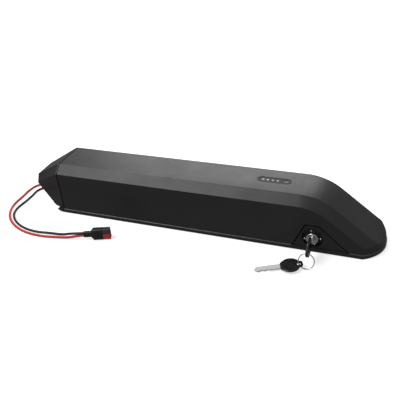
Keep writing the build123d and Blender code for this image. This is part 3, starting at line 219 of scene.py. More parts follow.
def softened_copy(node: str, radius: float, segments: int = 3, limit: float = 28.0) -> bpy.types.Object:
    """A copy of a moulded CAD piece with its edges rounded, which stands for that piece.

    Args:
        node: the CAD node.
        radius: how wide the rounding is, in millimetres.
        segments: faces across each rounding.
        limit: edges that turn by more than this many degrees are rounded.

    Returns:
        The new object.
    """
    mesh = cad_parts[node].data.copy()
    work = bmesh.new()
    work.from_mesh(mesh)
    bmesh.ops.remove_doubles(work, verts=work.verts, dist=CAD_WELD)
    bmesh.ops.dissolve_limit(work, angle_limit=math.radians(FLAT_ANGLE), verts=work.verts, edges=work.edges)
    work.to_mesh(mesh)
    work.free()
    piece = finish_mesh(f"{node}_moulding", mesh, MOULDED_ANGLE, recalculate=False)
    bevel = piece.modifiers.new("rounding", "BEVEL")
    bevel.width = radius * MM
    bevel.segments = segments
    bevel.limit_method = "ANGLE"
    bevel.angle_limit = math.radians(limit)
    bevel.harden_normals = True
    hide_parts(node)
    return piece


# ---------------------------------------------------------------- shader groups


def new_group(name: str, inputs: list[tuple[str, str, object]], outputs: list[tuple[str, str]]) -> bpy.types.NodeTree:
    """A shader node group with named sockets.

    Args:
        name: the group's name.
        inputs: name, socket type and first value of each input.
        outputs: name and socket type of each output.

    Returns:
        The group, with its input and output nodes.
    """
    tree = bpy.data.node_groups.new(name, "ShaderNodeTree")
    for label, kind, value in inputs:
        socket = tree.interface.new_socket(name=label, in_out="INPUT", socket_type=kind)
        if value is not None:
            socket.default_value = value
    for label, kind in outputs:
        tree.interface.new_socket(name=label, in_out="OUTPUT", socket_type=kind)
    tree.nodes.new("NodeGroupInput").name = "in"
    tree.nodes.new("NodeGroupOutput").name = "out"
    return tree


def add_node(tree: bpy.types.NodeTree, kind: str, values: dict[str | int, float] | None = None) -> bpy.types.Node:
    """Adds a node and sets its inputs.

    Args:
        tree: the tree that it goes in.
        kind: Blender's name for this kind of node.
        values: the value of each input, by its label or number.

    Returns:
        The new node.
    """
    node = tree.nodes.new(kind)
    for socket, value in (values or {}).items():
        node.inputs[socket].default_value = value
    return node


def tone_group() -> bpy.types.NodeTree:
    """Colour that drifts between two tones in soft patches, with a fine speckle on top.

    Returns:
        The group, which puts out a colour.
    """
    tree = new_group(
        "tone_drift",
        [
            ("Vector", "NodeSocketVector", None), ("Scale", "NodeSocketFloat", 20.0),
            ("Dark", "NodeSocketColor", (0, 0, 0, 1)), ("Light", "NodeSocketColor", (1, 1, 1, 1)),
        ],
        [("Color", "NodeSocketColor")],
    )
    given, links = tree.nodes["in"].outputs, tree.links
    broad = add_node(tree, "ShaderNodeTexNoise", {"Detail": 5.0})
    fine = add_node(tree, "ShaderNodeTexNoise", {"Scale": 2400.0, "Detail": 1.0})
    blend = add_node(tree, "ShaderNodeMath", {1: 0.35})
    blend.operation = "MULTIPLY_ADD"
    spread = add_node(tree, "ShaderNodeMapRange", {"From Min": 0.45, "From Max": 0.9})
    mix = add_node(tree, "ShaderNodeMix")
    mix.data_type = "RGBA"
    links.new(given["Vector"], broad.inputs["Vector"])
    links.new(given["Scale"], broad.inputs["Scale"])
    links.new(given["Vector"], fine.inputs["Vector"])
    links.new(fine.outputs["Fac"], blend.inputs[0])
    links.new(broad.outputs["Fac"], blend.inputs[2])
    links.new(blend.outputs[0], spread.inputs["Value"])
    links.new(spread.outputs["Result"], mix.inputs["Factor"])
    links.new(given["Dark"], mix.inputs["A"])
    links.new(given["Light"], mix.inputs["B"])
    links.new(mix.outputs["Result"], tree.nodes["out"].inputs["Color"])
    return tree


def handling_group() -> bpy.types.NodeTree:
    """Roughness between two values, lower in smears where hands and tools have rubbed the surface.

    Returns:
        The group, which puts out a roughness.
    """
    tree = new_group(
        "handling_gloss",
        [
            ("Vector", "NodeSocketVector", None), ("Scale", "NodeSocketFloat", 40.0),
            ("Smooth", "NodeSocketFloat", 0.3), ("Rough", "NodeSocketFloat", 0.5),
        ],
        [("Value", "NodeSocketFloat")],
    )
    given, links = tree.nodes["in"].outputs, tree.links
    smear = add_node(tree, "ShaderNodeTexNoise", {"Detail": 6.0, "Distortion": 0.8})
    span = add_node(tree, "ShaderNodeMapRange", {"From Min": 0.3, "From Max": 0.7})
    links.new(given["Vector"], smear.inputs["Vector"])
    links.new(given["Scale"], smear.inputs["Scale"])
    links.new(smear.outputs["Fac"], span.inputs["Value"])
    links.new(given["Smooth"], span.inputs["To Min"])
    links.new(given["Rough"], span.inputs["To Max"])
    links.new(span.outputs["Result"], tree.nodes["out"].inputs["Value"])
    return tree


def grain_group() -> bpy.types.NodeTree:
    """Normal of a spark-eroded mould's grain: small rounded cells under a finer noise.

    Returns:
        The group, which puts out a normal.
    """
    tree = new_group(
        "mould_grain",
        [
            ("Vector", "NodeSocketVector", None), ("Scale", "NodeSocketFloat", 1500.0),
            ("Height", "NodeSocketFloat", 0.2),
        ],
        [("Normal", "NodeSocketVector")],
    )
    given, links = tree.nodes["in"].outputs, tree.links
    cells = add_node(tree, "ShaderNodeTexVoronoi")
    cells.feature = "SMOOTH_F1"
    noise = add_node(tree, "ShaderNodeTexNoise", {"Detail": 3.0})
    add = add_node(tree, "ShaderNodeMath")
    bump = add_node(tree, "ShaderNodeBump", {"Distance": 0.0004})
    for texture in (cells, noise):
        links.new(given["Vector"], texture.inputs["Vector"])
        links.new(given["Scale"], texture.inputs["Scale"])
    links.new(cells.outputs["Distance"], add.inputs[0])
    links.new(noise.outputs["Fac"], add.inputs[1])
    links.new(add.outputs[0], bump.inputs["Height"])
    links.new(given["Height"], bump.inputs["Strength"])
    links.new(bump.outputs["Normal"], tree.nodes["out"].inputs["Normal"])
    return tree


@dataclass(frozen=True)
class ShaderGroups:
    """The three effects that every finish is built from."""

    tone: bpy.types.NodeTree = field(default_factory=tone_group)
    handling: bpy.types.NodeTree = field(default_factory=handling_group)
    grain: bpy.types.NodeTree = field(default_factory=grain_group)


GROUPS = ShaderGroups()


@dataclass(frozen=True)
class Finish:
    """One finish of the pack: its two tones, its gloss and the grain of its surface."""

    name: str
    dark: Colour
    light: Colour
    smooth: float = 0.35
    rough: float = 0.5
    patches: float = 30.0
    grain: float = 1500.0
    relief: float = 0.15
    metallic: float = 0.0
    specular: float = 0.5
    glow: float = 0.0

    def material(self) -> bpy.types.Material:
        """The finish's material, built on first use."""
        return bpy.data.materials.get(self.name) or self._build()

    def _effect(
        self, tree: bpy.types.NodeTree, shared: bpy.types.NodeTree, values: dict[str, object]
    ) -> bpy.types.Node:
        """Places one shared effect in this material, reading Object coordinates.

        Args:
            tree: the material's node tree, with its coordinates node.
            shared: the effect's group.
            values: the value of each input by its label.

        Returns:
            The group node.
        """
        node = tree.nodes.new("ShaderNodeGroup")
        node.node_tree = shared
        for label, value in values.items():
            node.inputs[label].default_value = value
        tree.links.new(tree.nodes["place"].outputs["Object"], node.inputs["Vector"])
        return node

    def _build(self) -> bpy.types.Material:
        """Joins the shared effects to one Principled shader with this finish's values.

        Returns:
            The new material.
        """
        made = bpy.data.materials.new(self.name)
        made.use_nodes = True
        tree = made.node_tree
        shader = tree.nodes["Principled BSDF"]
        tree.nodes.new("ShaderNodeTexCoord").name = "place"
        tones = {"Scale": self.patches, "Dark": (*self.dark, 1.0), "Light": (*self.light, 1.0)}
        tone = self._effect(tree, GROUPS.tone, tones)
        smears = {"Scale": self.patches * SMEARS_PER_PATCH, "Smooth": self.smooth, "Rough": self.rough}
        gloss = self._effect(tree, GROUPS.handling, smears)
        grain = self._effect(tree, GROUPS.grain, {"Scale": self.grain, "Height": self.relief})
        tree.links.new(tone.outputs["Color"], shader.inputs["Base Color"])
        tree.links.new(gloss.outputs["Value"], shader.inputs["Roughness"])
        tree.links.new(grain.outputs["Normal"], shader.inputs["Normal"])
        shader.inputs["Metallic"].default_value = self.metallic
        shader.inputs["Specular IOR Level"].default_value = self.specular
        if self.glow > 0:
            tree.links.new(tone.outputs["Color"], shader.inputs["Emission Color"])
            shader.inputs["Emission Strength"].default_value = self.glow
        return made


class Finishes:
    """Every finish on the pack, cradle, keys and leads."""

    SHELL = Finish("shell_satin", (0.017, 0.0175, 0.018), (0.024, 0.0245, 0.025), 0.36, 0.44, 14.0, 1700.0, 0.10)
    CAP = Finish("tail_cap_satin", (0.013, 0.0135, 0.014), (0.019, 0.0195, 0.02), 0.3, 0.38, 18.0, 2200.0, 0.06)
    CRADLE = Finish("cradle_satin", (0.014, 0.014, 0.015), (0.022, 0.022, 0.023), 0.34, 0.44, 22.0, 1500.0, 0.12)
    INNER = Finish("inner_moulding", (0.05, 0.05, 0.053), (0.075, 0.075, 0.08), 0.42, 0.55, 30.0, 1200.0, 0.12)
    HOLDER = Finish("cell_holder", (0.03, 0.032, 0.034), (0.06, 0.062, 0.066), 0.4, 0.55, 40.0, 1200.0, 0.12)
    STEEL = Finish("zinc_steel", (0.42, 0.42, 0.43), (0.62, 0.62, 0.63), 0.25, 0.42, 60.0, 2600.0, 0.08, 1.0)
    CHROME = Finish("nickel_plate", (0.66, 0.66, 0.67), (0.84, 0.84, 0.85), 0.1, 0.2, 50.0, 2600.0, 0.02, 1.0)
    BRASS = Finish("turned_brass", (0.5, 0.36, 0.16), (0.72, 0.55, 0.27), 0.25, 0.4, 60.0, 2600.0, 0.05, 1.0)
    CONTACT = Finish("plated_contact", (0.62, 0.6, 0.56), (0.8, 0.78, 0.74), 0.2, 0.34, 60.0, 2600.0, 0.04, 1.0)
    CELL_WRAP = Finish("cell_wrap", (0.03, 0.16, 0.14), (0.04, 0.22, 0.19), 0.25, 0.38, 30.0, 900.0, 0.05)
    RUBBER = Finish("moulded_rubber", (0.014, 0.014, 0.014), (0.026, 0.026, 0.026), 0.55, 0.75, 40.0, 1300.0, 0.2)
    SHRINK = Finish("heat_shrink", (0.012, 0.012, 0.013), (0.024, 0.024, 0.025), 0.16, 0.34, 60.0, 700.0, 0.18)
    RED_LEAD = Finish("red_silicone", (0.62, 0.025, 0.02), (0.8, 0.05, 0.04), 0.4, 0.55, 60.0, 900.0, 0.1)
    BLACK_LEAD = Finish("black_silicone", (0.012, 0.012, 0.013), (0.028, 0.028, 0.029), 0.38, 0.52, 60.0, 900.0, 0.1)
    RED_HOUSING = Finish("red_housing", (0.65, 0.03, 0.035), (0.82, 0.06, 0.06), 0.26, 0.4, 70.0, 900.0, 0.08)
    GREY_HOUSING = Finish("dark_housing", (0.045, 0.046, 0.05), (0.075, 0.076, 0.08), 0.28, 0.42, 70.0, 900.0, 0.08)
    BOARD = Finish("solder_mask", (0.012, 0.09, 0.035), (0.02, 0.14, 0.055), 0.3, 0.42, 90.0, 1200.0, 0.08)
    CHIPS = Finish("component_bodies", (0.02, 0.02, 0.02), (0.045, 0.045, 0.045), 0.4, 0.6, 90.0, 1200.0, 0.12)
    LENS = Finish("smoked_lens", (0.006, 0.006, 0.007), (0.01, 0.01, 0.011), 0.5, 0.6, 40.0, 1200.0, 0.02)
    LIGHT_GUIDE = Finish("light_guide", (0.5, 0.5, 0.49), (0.66, 0.66, 0.65), 0.2, 0.32, 60.0, 1200.0, 0.03)
    FOAM = Finish("foam_pad", (0.07, 0.07, 0.075), (0.13, 0.13, 0.135), 0.8, 0.95, 60.0, 600.0, 0.5)
    PAPER = Finish("insulating_paper", (0.5, 0.52, 0.46), (0.62, 0.64, 0.57), 0.7, 0.85, 50.0, 700.0, 0.2)
    # Cradle bead: a lighter tone than the cradle's own plastic, a painted highlight along its upper edge.
    BEAD_PAINTED_HIGHLIGHT = Finish("cradle_bead_painted_highlight", (0.05, 0.05, 0.052), (0.09, 0.09, 0.093), 0.16, 0.26, 60.0, 1200.0, 0.03)
    # Lock well and bezel: black plastic coloured darker still, shade painted into the recess.
    WELL_PAINTED_SHADE = Finish("lock_well_black_painted_shade", (0.004, 0.004, 0.004), (0.008, 0.008, 0.008), 0.5, 0.7, 60.0, 1200.0, 0.1)
    # Key blades: pale plated steel coloured near-white and barely metallic, a painted reflection of the white
    # surroundings.
    BLADE_PAINTED_REFLECTION = Finish("key_blade_plate_painted_reflection", (0.9, 0.9, 0.91), (1.0, 1.0, 1.0), 0.28, 0.4, 80.0, 1800.0, 0.03, 0.15)
    DOT = Finish("charge_dot_clear", (0.3, 0.3, 0.31), (0.5, 0.5, 0.51), 0.1, 0.2, 60.0, 1200.0, 0.03)
    KEY_BOW = Finish("key_bow_plastic", (0.012, 0.012, 0.012), (0.02, 0.02, 0.021), 0.24, 0.36, 60.0, 1600.0, 0.06)


NODES_BY_FINISH: tuple[tuple[Finish, tuple[str, ...]], ...] = (
    (Finishes.INNER, ("bottom_cover", "tail_hooks", "terminal_block", "board_posts", "discharge_socket",
                      "charge_port", "flap_ears")),
    (Finishes.STEEL, ("cover_screws", "pivot_bar", "tail_screws", "lock_nut", "lock_pin", "strike_plate", "flap_pin")),
    (Finishes.RUBBER, ("tail_gasket", "seat_pads", "cable_grommet")),
    (Finishes.CONTACT, ("terminal_blades", "nickel_strips_front", "nickel_strips_rear", "socket_contacts",
                        "connector_contacts")),
    (Finishes.BLACK_LEAD, ("lead_stubs", "pack_lead_negative")),
    (Finishes.RED_LEAD, ("pack_lead_positive",)),
    (Finishes.WELL_PAINTED_SHADE, ("lock_bezel",)),
    (Finishes.CHROME, ("lock_plug",)),
    # The blades' near-white colour is a painted reflection of the white surroundings.
    (Finishes.BLADE_PAINTED_REFLECTION, ("key_blade", "spare_key_blade")),
    (Finishes.CELL_WRAP, ("cells",)),
    (Finishes.HOLDER, ("cell_holder_front", "cell_holder_rear")),
    (Finishes.FOAM, ("foam_pads",)),
    (Finishes.PAPER, ("insulation_sheets",)),
    (Finishes.BOARD, ("bms_board", "indicator_board")),
    (Finishes.CHIPS, ("bms_parts", "fuse", "switch_body", "switch_plunger")),
    (Finishes.LENS, ("indicator_lens",)),
    (Finishes.LIGHT_GUIDE, ("light_guides", "leds")),
    (Finishes.BRASS, ("charge_pin",)),
)


def dress(piece: bpy.types.Object, finish: Finish, body: Body, slot: str, *nodes: str) -> bpy.types.Object:
    """Gives a piece its finish and body, and hides the CAD nodes that it stands for.

    Args:
        piece: the new piece.
        finish: its finish.
        body: the body that it rides on.
        slot: the record's material slot, which is not used.
        *nodes: CAD nodes that it replaces.

    Returns:
        The same piece.
    """
    piece.data.materials.clear()
    piece.data.materials.append(finish.material())
    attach(piece, body.value)
    if nodes:
        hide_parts(*nodes)
    log.info("piece %s on %s", piece.name, body.value)
    return piece


def middle(node: str) -> Vector:
    """The middle of a CAD node's box."""
    low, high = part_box(node)
    return (low + high) / 2


# ---------------------------------------------------------------- camera, floor and lights


@dataclass(frozen=True)
class Softbox:
    """One rectangular light. Its radiance is how bright its face is, as a multiple of white."""

    name: str
    place: Place
    target: Place
    size: tuple[float, float]
    radiance: float

    def build(self) -> None:
        """Links the light, with its face turned to its target."""
        data = bpy.data.lights.new(self.name, "AREA")
        data.shape = "RECTANGLE"
        data.size, data.size_y = self.size
        data.energy = self.radiance * math.pi * self.size[0] * self.size[1]
        light = bpy.data.objects.new(self.name, data)
        light.location = self.place
        light.rotation_euler = (Vector(self.target) - Vector(self.place)).to_track_quat("-Z", "Y").to_euler()
        bpy.context.scene.collection.objects.link(light)


@dataclass
class Studio:
    """A pale floor, soft lights and a camera above the lock side."""

    eye: Place = (0.2736, -0.6312, 0.4646)
    right: Place = (0.9329, 0.3520, -0.0756)
    up: Place = (-0.1296, 0.5241, 0.8418)
    lens: float = 52.15
    sensor: float = 36.0
    near_clip: float = 0.01
    floor_side: float = 12.0
    floor_z: float = -0.0002
    floor_points: int = 9
    floor_finish: Finish = Finish(
        "studio_floor", (0.8, 0.8, 0.8), (0.84, 0.84, 0.84), 0.85, 0.95, 3.0, 200.0, 0.0, 0.0, 0.1, glow=0.75
    )
    sky_span: tuple[float, float] = (-0.1, 0.6)
    sky_brightness: tuple[float, float] = (0.18, 0.38)
    lights: tuple[Softbox, ...] = (
        Softbox("overhead", (-0.72, -0.62, 1.3), (-0.05, 0.0, 0.05), (1.1, 0.8), 4.6),
        Softbox("behind", (-0.3, 1.5, 1.05), (0.0, 0.0, 0.05), (1.5, 0.8), 3.2),
    )

    def camera(self) -> None:
        """Makes the camera from its place and its right and up directions."""
        data = bpy.data.cameras.new("camera")
        data.lens = self.lens
        data.sensor_width = self.sensor
        data.clip_start = self.near_clip
        view = bpy.data.objects.new("camera", data)
        right = Vector(self.right).normalized()
        up = (Vector(self.up) - right * right.dot(Vector(self.up))).normalized()
        turn = Matrix((right, up, right.cross(up))).transposed()
        view.matrix_world = Matrix.Translation(Vector(self.eye)) @ turn.to_4x4()
        bpy.context.scene.collection.objects.link(view)
        bpy.context.scene.camera = view

    def floor(self) -> None:
        """Makes a large pale sheet under the object, which adds nothing to its reflections."""
        side = np.linspace(-self.floor_side / 2, self.floor_side / 2, self.floor_points)
        x, y = np.meshgrid(side, side, indexing="ij")
        sheet = make_skin("floor", np.stack([x, y, np.full_like(x, self.floor_z)], -1), wrap_columns=False)
        sheet.data.materials.append(self.floor_finish.material())
        sheet.visible_glossy = False
        sheet.visible_diffuse = False

    def surroundings(self) -> None:
        """Makes a pale sky that is darker below the horizon."""
        world = bpy.data.worlds.new("surroundings")
        world.use_nodes = True
        tree = world.node_tree
        place = add_node(tree, "ShaderNodeTexCoord")
        split = add_node(tree, "ShaderNodeSeparateXYZ")
        labels = ("From Min", "From Max", "To Min", "To Max")
        values = (*self.sky_span, *self.sky_brightness)
        ramp = add_node(tree, "ShaderNodeMapRange", dict(zip(labels, values)))
        tree.links.new(place.outputs["Generated"], split.inputs["Vector"])
        tree.links.new(split.outputs["Z"], ramp.inputs["Value"])
        tree.links.new(ramp.outputs["Result"], tree.nodes["Background"].inputs["Color"])
        bpy.context.scene.world = world

    def build(self) -> None:
        """Makes the camera, the floor and the lights."""
        self.camera()
        self.floor()
        self.surroundings()
        for light in self.lights:
            light.build()
        bpy.context.scene.view_settings.view_transform = "Standard"


# ---------------------------------------------------------------- leads and their plug

# The leads' routes on the table, in millimetres, as the CAD has them.
RED_ROUTE: list[Place] = [
    (-239.0, 9.5, 2.2), (-256.0, 17.0, 1.85), (-274.0, 25.8, 1.85), (-292.4, 19.8, 1.85),
    (-296.2, 0.0, 1.85), (-294.6, -18.0, 1.85), (-295.4, -37.0, 1.85), (-290.2, -57.0, 1.85),
    (-278.0, -75.5, 1.85), (-258.5, -90.5, 1.85), (-234.0, -100.5, 1.85), (-206.0, -103.2, 1.85),
    (-180.0, -99.4, 1.85), (-162.0, -97.6, 3.4),
]
BLACK_ROUTE: list[Place] = [
    (-237.5, 3.6, 2.2), (-253.0, 11.4, 1.85), (-270.0, 18.4, 1.85), (-283.0, 6.0, 1.85),
    (-280.6, -13.0, 1.85), (-281.4, -32.0, 1.85), (-283.4, -48.0, 1.85), (-278.6, -65.0, 1.85),
    (-264.0, -80.5, 1.85), (-243.0, -91.5, 1.85), (-218.0, -96.0, 1.85), (-193.0, -92.8, 1.85),
    (-175.0, -93.6, 3.2), (-160.0, -94.6, 8.2),
]


@dataclass
class DischargeLeads:
    """The red and the black lead, from the grommet along the table to their two-pole plug."""

    wire: float = 3.5
    exit_x: float = -220.0
    exit_z: float = 2.5
    red_exit_y: float = 7.0
    black_exit_y: float = 2.0
    plug: tuple[float, float] = (-139.0, -92.0)
    yaw: float = 20.0
    pitch: float = 3.9
    middle_z: float = 9.1
    last_run: float = 9.0
    boot_length: float = 12.0
    boot_half: tuple[float, float] = (2.85, 4.65)
    sleeve_length: float = 15.0
    sleeve_half: tuple[float, float] = (3.3, 5.3)
    sleeve_growth: tuple[float, float] = (1.35, 3.3)
    sleeve_overlap: float = 1.0
    housing_edge: float = 0.5
    red_length: float = 0.3213
    black_length: float = 0.2901

    def __post_init__(self) -> None:
        """Works out the plug's directions."""
        turn = math.radians(self.yaw)
        self.along = Vector((math.cos(turn), math.sin(turn), 0.0))
        self.across = Vector((-math.sin(turn), math.cos(turn), 0.0))

    def plug_point(self, distance: float, z: float) -> Vector:
        """A point over the plug's axis, by its distance along it and its height in millimetres."""
        return (Vector((*self.plug, 0.0)) + self.along * distance + Vector((0, 0, z))) * MM

    def lead(
        self, node: str, exit_y: float, route: list[Place], side: int, finish: Finish, slot: str
    ) -> bpy.types.Object:
        """One lead as a smooth spline on its route's points.

        Args:
            node: the lead's CAD node.
            exit_y: where it leaves the grommet.
            route: the route's points between the grommet and the plug, in millimetres.
            side: 1 for the upper lead in the boot, and -1 for the lower one.
            finish: its finish.
            slot: its material slot.

        Returns:
            The curve object.
        """
        name = f"{node}_wire"
        start = Vector((self.exit_x, exit_y, self.exit_z)) * MM
        height = self.middle_z + side * self.pitch / 2
        ends = [self.plug_point(-self.last_run, height), self.plug_point(0, height)]
        points = [start, *(Vector(point) * MM for point in route), *ends]
        data = bpy.data.curves.new(name, "CURVE")
        data.dimensions = "3D"
        data.bevel_depth = self.wire / 2 * MM
        data.bevel_resolution = 5
        data.resolution_u = 16
        data.use_fill_caps = True
        spline = data.splines.new("NURBS")
        spline.points.add(len(points) - 1)
        spline.points.foreach_set("co", [value for point in points for value in (*point, 1.0)])
        spline.order_u = 3
        spline.use_endpoint_u = True
        spline.use_smooth = True
        piece = bpy.data.objects.new(name, data)
        bpy.context.scene.collection.objects.link(piece)
        return dress(piece, finish, Body.CRADLE, slot, node)

    def swept(self, name: str, stations: np.ndarray, section: np.ndarray) -> bpy.types.Object:
        """A row of sections carried along the plug's axis.

        Point (i, j) = plug middle + along * station_i + across * section_ij.x + up * section_ij.y.

        Args:
            name: the piece's name.
            stations: distances along the plug in millimetres.
            section: rows by steps by two, in metres.

        Returns:
            The closed piece.
        """
        origin = np.array(self.plug_point(0, self.middle_z))
        along, across = np.array(self.along), np.array(self.across)
        points = origin + stations[:, None, None] * MM * along + section[..., :1] * across
        points[..., 2] += section[..., 1]
        return make_skin(name, points, caps=True, sharp=50.0)

    def boot(self) -> bpy.types.Object:
        """Shrunk sleeving over both leads: an oval that swells and wrinkles a little along its length.

        At share u of the length, the half widths are their full size plus two short sine waves, times a mouth that
        narrows in a straight line at each end.

        Returns:
            The closed piece.
        """
        u = np.linspace(0, 1, 46)
        wrinkle = 0.13 * np.sin(u * 31) * np.sin(u * 9 + 1) + 0.1 * np.sin(u * 67)
        mouth = np.minimum(1, 0.84 + 1.4 * u) * np.minimum(1, 0.88 + 1.2 * (1 - u))
        wide, tall = self.boot_half
        section = rounded_section((wide + wrinkle * 0.6) * mouth, (tall + wrinkle) * mouth, 2.6, 40)
        return self.swept("heat_shrink_boot", u * self.boot_length, section)

    def sleeve(self) -> bpy.types.Object:
        """Wider sleeving over the backs of the two housings, pinched where it meets the boot.

        At share u of the length, the half widths grow from the boot's size by an S curve, 1 / (1 + exp(-26 * (u -
        0.13))), and carry two short sine waves.

        Returns:
            The closed piece.
        """
        u = np.linspace(0, 1, 52)
        grow = 1 / (1 + np.exp(-(u - 0.13) * 26))
        wrinkle = 0.12 * np.sin(u * 43) * (1 - grow * 0.5) + 0.06 * np.sin(u * 91 + 2)
        wide, tall = (half + growth * grow + wrinkle for half, growth in zip(self.sleeve_half, self.sleeve_growth))
        stations = self.boot_length - self.sleeve_overlap + u * (self.sleeve_length + self.sleeve_overlap)
        return self.swept("heat_shrink_sleeve", stations, rounded_section(wide, tall, 4.6, 56))

    def build(self) -> None:
        red = self.lead("lead_red", self.red_exit_y, RED_ROUTE, -1, Finishes.RED_LEAD, "silicone_red")
        black = self.lead("lead_black", self.black_exit_y, BLACK_ROUTE, 1, Finishes.BLACK_LEAD, "silicone_black")
        boot = dress(self.boot(), Finishes.SHRINK, Body.CRADLE, "rubber", "connector_boot")
        sleeve = dress(self.sleeve(), Finishes.SHRINK, Body.CRADLE, "rubber", "connector_sleeve")
        lower = softened_copy("connector_housing_red", self.housing_edge)
        dress(lower, Finishes.RED_HOUSING, Body.CRADLE, "housing_red")
        upper = softened_copy("connector_housing_black", self.housing_edge)
        dress(upper, Finishes.GREY_HOUSING, Body.CRADLE, "housing_grey")


# ---------------------------------------------------------------- case, cap and cradle


@dataclass
class Housing:
    """The case, its tail cap and the cradle under them, with the edges that moulding rounds."""

    case_edge: float = 1.3
    cap_edge: float = 1.6
    cradle_edge: float = 0.7
    cradle_top: float = 6.5
    nose_radius: float = 43.0
    tail_x: float = -204.0
    boss_left: float = 139.0
    boss_right: float = 213.0
    bead: float = 1.1
    bead_inset: float = 0.85
    bead_drop: float = 0.75
    bead_points: int = 400
    bead_steps: int = 14

    def __post_init__(self) -> None:
        """Works out the bead's plan: straight near side, arc of the nose radius about the axis, straight far side."""
        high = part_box("cradle_base")[1]
        self.radius = self.nose_radius - self.bead_inset
        self.middle_x = high.x / MM - self.nose_radius
        self.reach = math.asin((high.y / MM - self.bead_inset) / self.radius)
        self.straight = self.middle_x + self.radius * math.cos(self.reach) - self.tail_x
        self.curved = 2 * self.radius * self.reach

    def ledge(self, name: str, first: float, last: float) -> bpy.types.Object:
        """A rounded bead on the cradle's upper edge, carried along part of its plan at even spacing; its finish is
        lighter than the cradle's own, a painted highlight.

        Args:
            name: the piece's name.
            first: the length of plan before the bead starts.
            last: the length of plan where it ends.

        Returns:
            The closed bead.
        """
        along = np.linspace(first, last, self.bead_points)
        turn = np.clip((along - self.straight) / self.radius - self.reach, -self.reach, self.reach)
        before = np.clip(along, 0, self.straight)
        after = np.clip(along - self.straight - self.curved, 0, self.straight)
        x = self.middle_x + self.radius * np.cos(turn) - (self.straight - before) - after
        y = self.radius * np.sin(turn)
        path = np.stack([x, y, np.full_like(x, self.cradle_top - self.bead_drop)], -1) * MM
        ring = tube_points(path, np.full(self.bead_points, self.bead * MM), self.bead_steps)
        return make_skin(name, ring, caps=True)

    def build(self) -> None:
        """Makes the three mouldings, and the bead on each side of the lock boss, coloured lighter than the cradle as a
        painted highlight.
        """
        dress(softened_copy("main_case", self.case_edge, 4), Finishes.SHELL, Body.PACK, "shell")
        dress(softened_copy("tail_cap", self.cap_edge, 4), Finishes.CAP, Body.PACK, "cap")
        dress(softened_copy("cradle_base", self.cradle_edge), Finishes.CRADLE, Body.CRADLE, "cradle")
        near = self.ledge("cradle_bead_near", 0.0, self.boss_left - self.tail_x)
        far = self.ledge("cradle_bead_far", self.boss_right - self.tail_x, 2 * self.straight + self.curved)
        # The beads carry a lighter colour than the cradle, a painted highlight.
        for bead in (near, far):
            dress(bead, Finishes.BEAD_PAINTED_HIGHLIGHT, Body.CRADLE, "cradle")


@dataclass
class Indicator:
    """The lit dots, the lip round the panel and the power button."""

    dots: int = 4
    first_dot: float = 92.6
    dot_pitch: float = 6.5
    dot_radius: float = 1.8
    dot_rise: float = 0.3
    dot_lift: float = 0.02
    panel_x: float = 107.5
    panel_length: float = 46.0
    panel_width: float = 13.0
    lip_half_width: float = 0.45
    lip_half_height: float = 0.3
    lip_sink: float = 0.15
    end_points: int = 33

    def lip(self) -> bpy.types.Object:
        """A fine raised bead round the panel: an oval section carried along a racetrack.

        The track is straight for the panel's length less its width, and each end is half a circle.

        Returns:
            The closed bead.
        """
        straight = self.panel_length - self.panel_width
        radius = self.panel_width / 2
        turn = np.linspace(-np.pi / 2, np.pi / 2, self.end_points)
        end = np.stack([np.cos(turn), np.sin(turn)], -1)
        right = end * radius + [straight / 2, 0.0]
        track, outward = np.concatenate([right, -right]), np.concatenate([end, -end])
        angle = np.linspace(0, 2 * np.pi, 10, endpoint=False)
        out, height = self.lip_half_width * np.cos(angle), self.lip_half_height * np.sin(angle)
        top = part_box("main_case")[1].z / MM
        flat = track[:, None] + outward[:, None] * out[None, :, None]
        z = np.broadcast_to(top - self.lip_sink + height, flat.shape[:2])
        points = np.concatenate([flat + [self.panel_x, 0.0], z[..., None]], -1) * MM
        return make_skin("panel_lip", points, wrap_rows=True)

    def dot(self, number: int) -> bpy.types.Object:
        """One low dome of clear plastic: height falls with the square of the distance from its middle.

        Args:
            number: the dot's number, from the tail.

        Returns:
            The dome.
        """
        r = np.array([1.75, 1.7, 1.45, 1.1, 0.7, 0.0])
        height = self.dot_lift + self.dot_rise * (1 - (r / self.dot_radius) ** 2)
        lens_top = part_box("indicator_lens")[1].z
        centre = Vector(((self.first_dot + number * self.dot_pitch) * MM, 0.0, lens_top))
        form = turned(list(zip(r, height)), centre, UP, ALONG, 28)
        return make_skin(f"charge_dot_{number + 1}", form)

    def button(self) -> bpy.types.Object:
        """A round button with a dished face inside a raised rim, and the flange that keeps it in the case.

        Returns:
            The button.
        """
        low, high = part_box("power_button")
        centre = Vector(((low.x + high.x) / 2, 0.0, low.z))
        top = (high.z - low.z) / MM
        flange = [(0.0, 0.0), (5.3, 0.0), (5.3, 1.6), (4.3, 1.6)]
        rim = [(4.3, -0.35), (4.15, -0.1), (3.9, 0.0), (3.5, -0.05), (3.2, -0.3)]
        dish = [(2.6, -0.42), (1.4, -0.5), (0.0, -0.52)]
        profile = flange + [(radius, top + height) for radius, height in rim + dish]
        return make_skin("button_cap", turned(profile, centre, UP, ALONG, 48))

    def build(self) -> None:
        """Makes the lip, the dots and the button."""
        dress(self.lip(), Finishes.SHELL, Body.PACK, "shell")
        for number in range(self.dots):
            dress(self.dot(number), Finishes.DOT, Body.PACK, "light_guide")
        dress(self.button(), Finishes.KEY_BOW, Body.BUTTON, "rubber", "power_button")


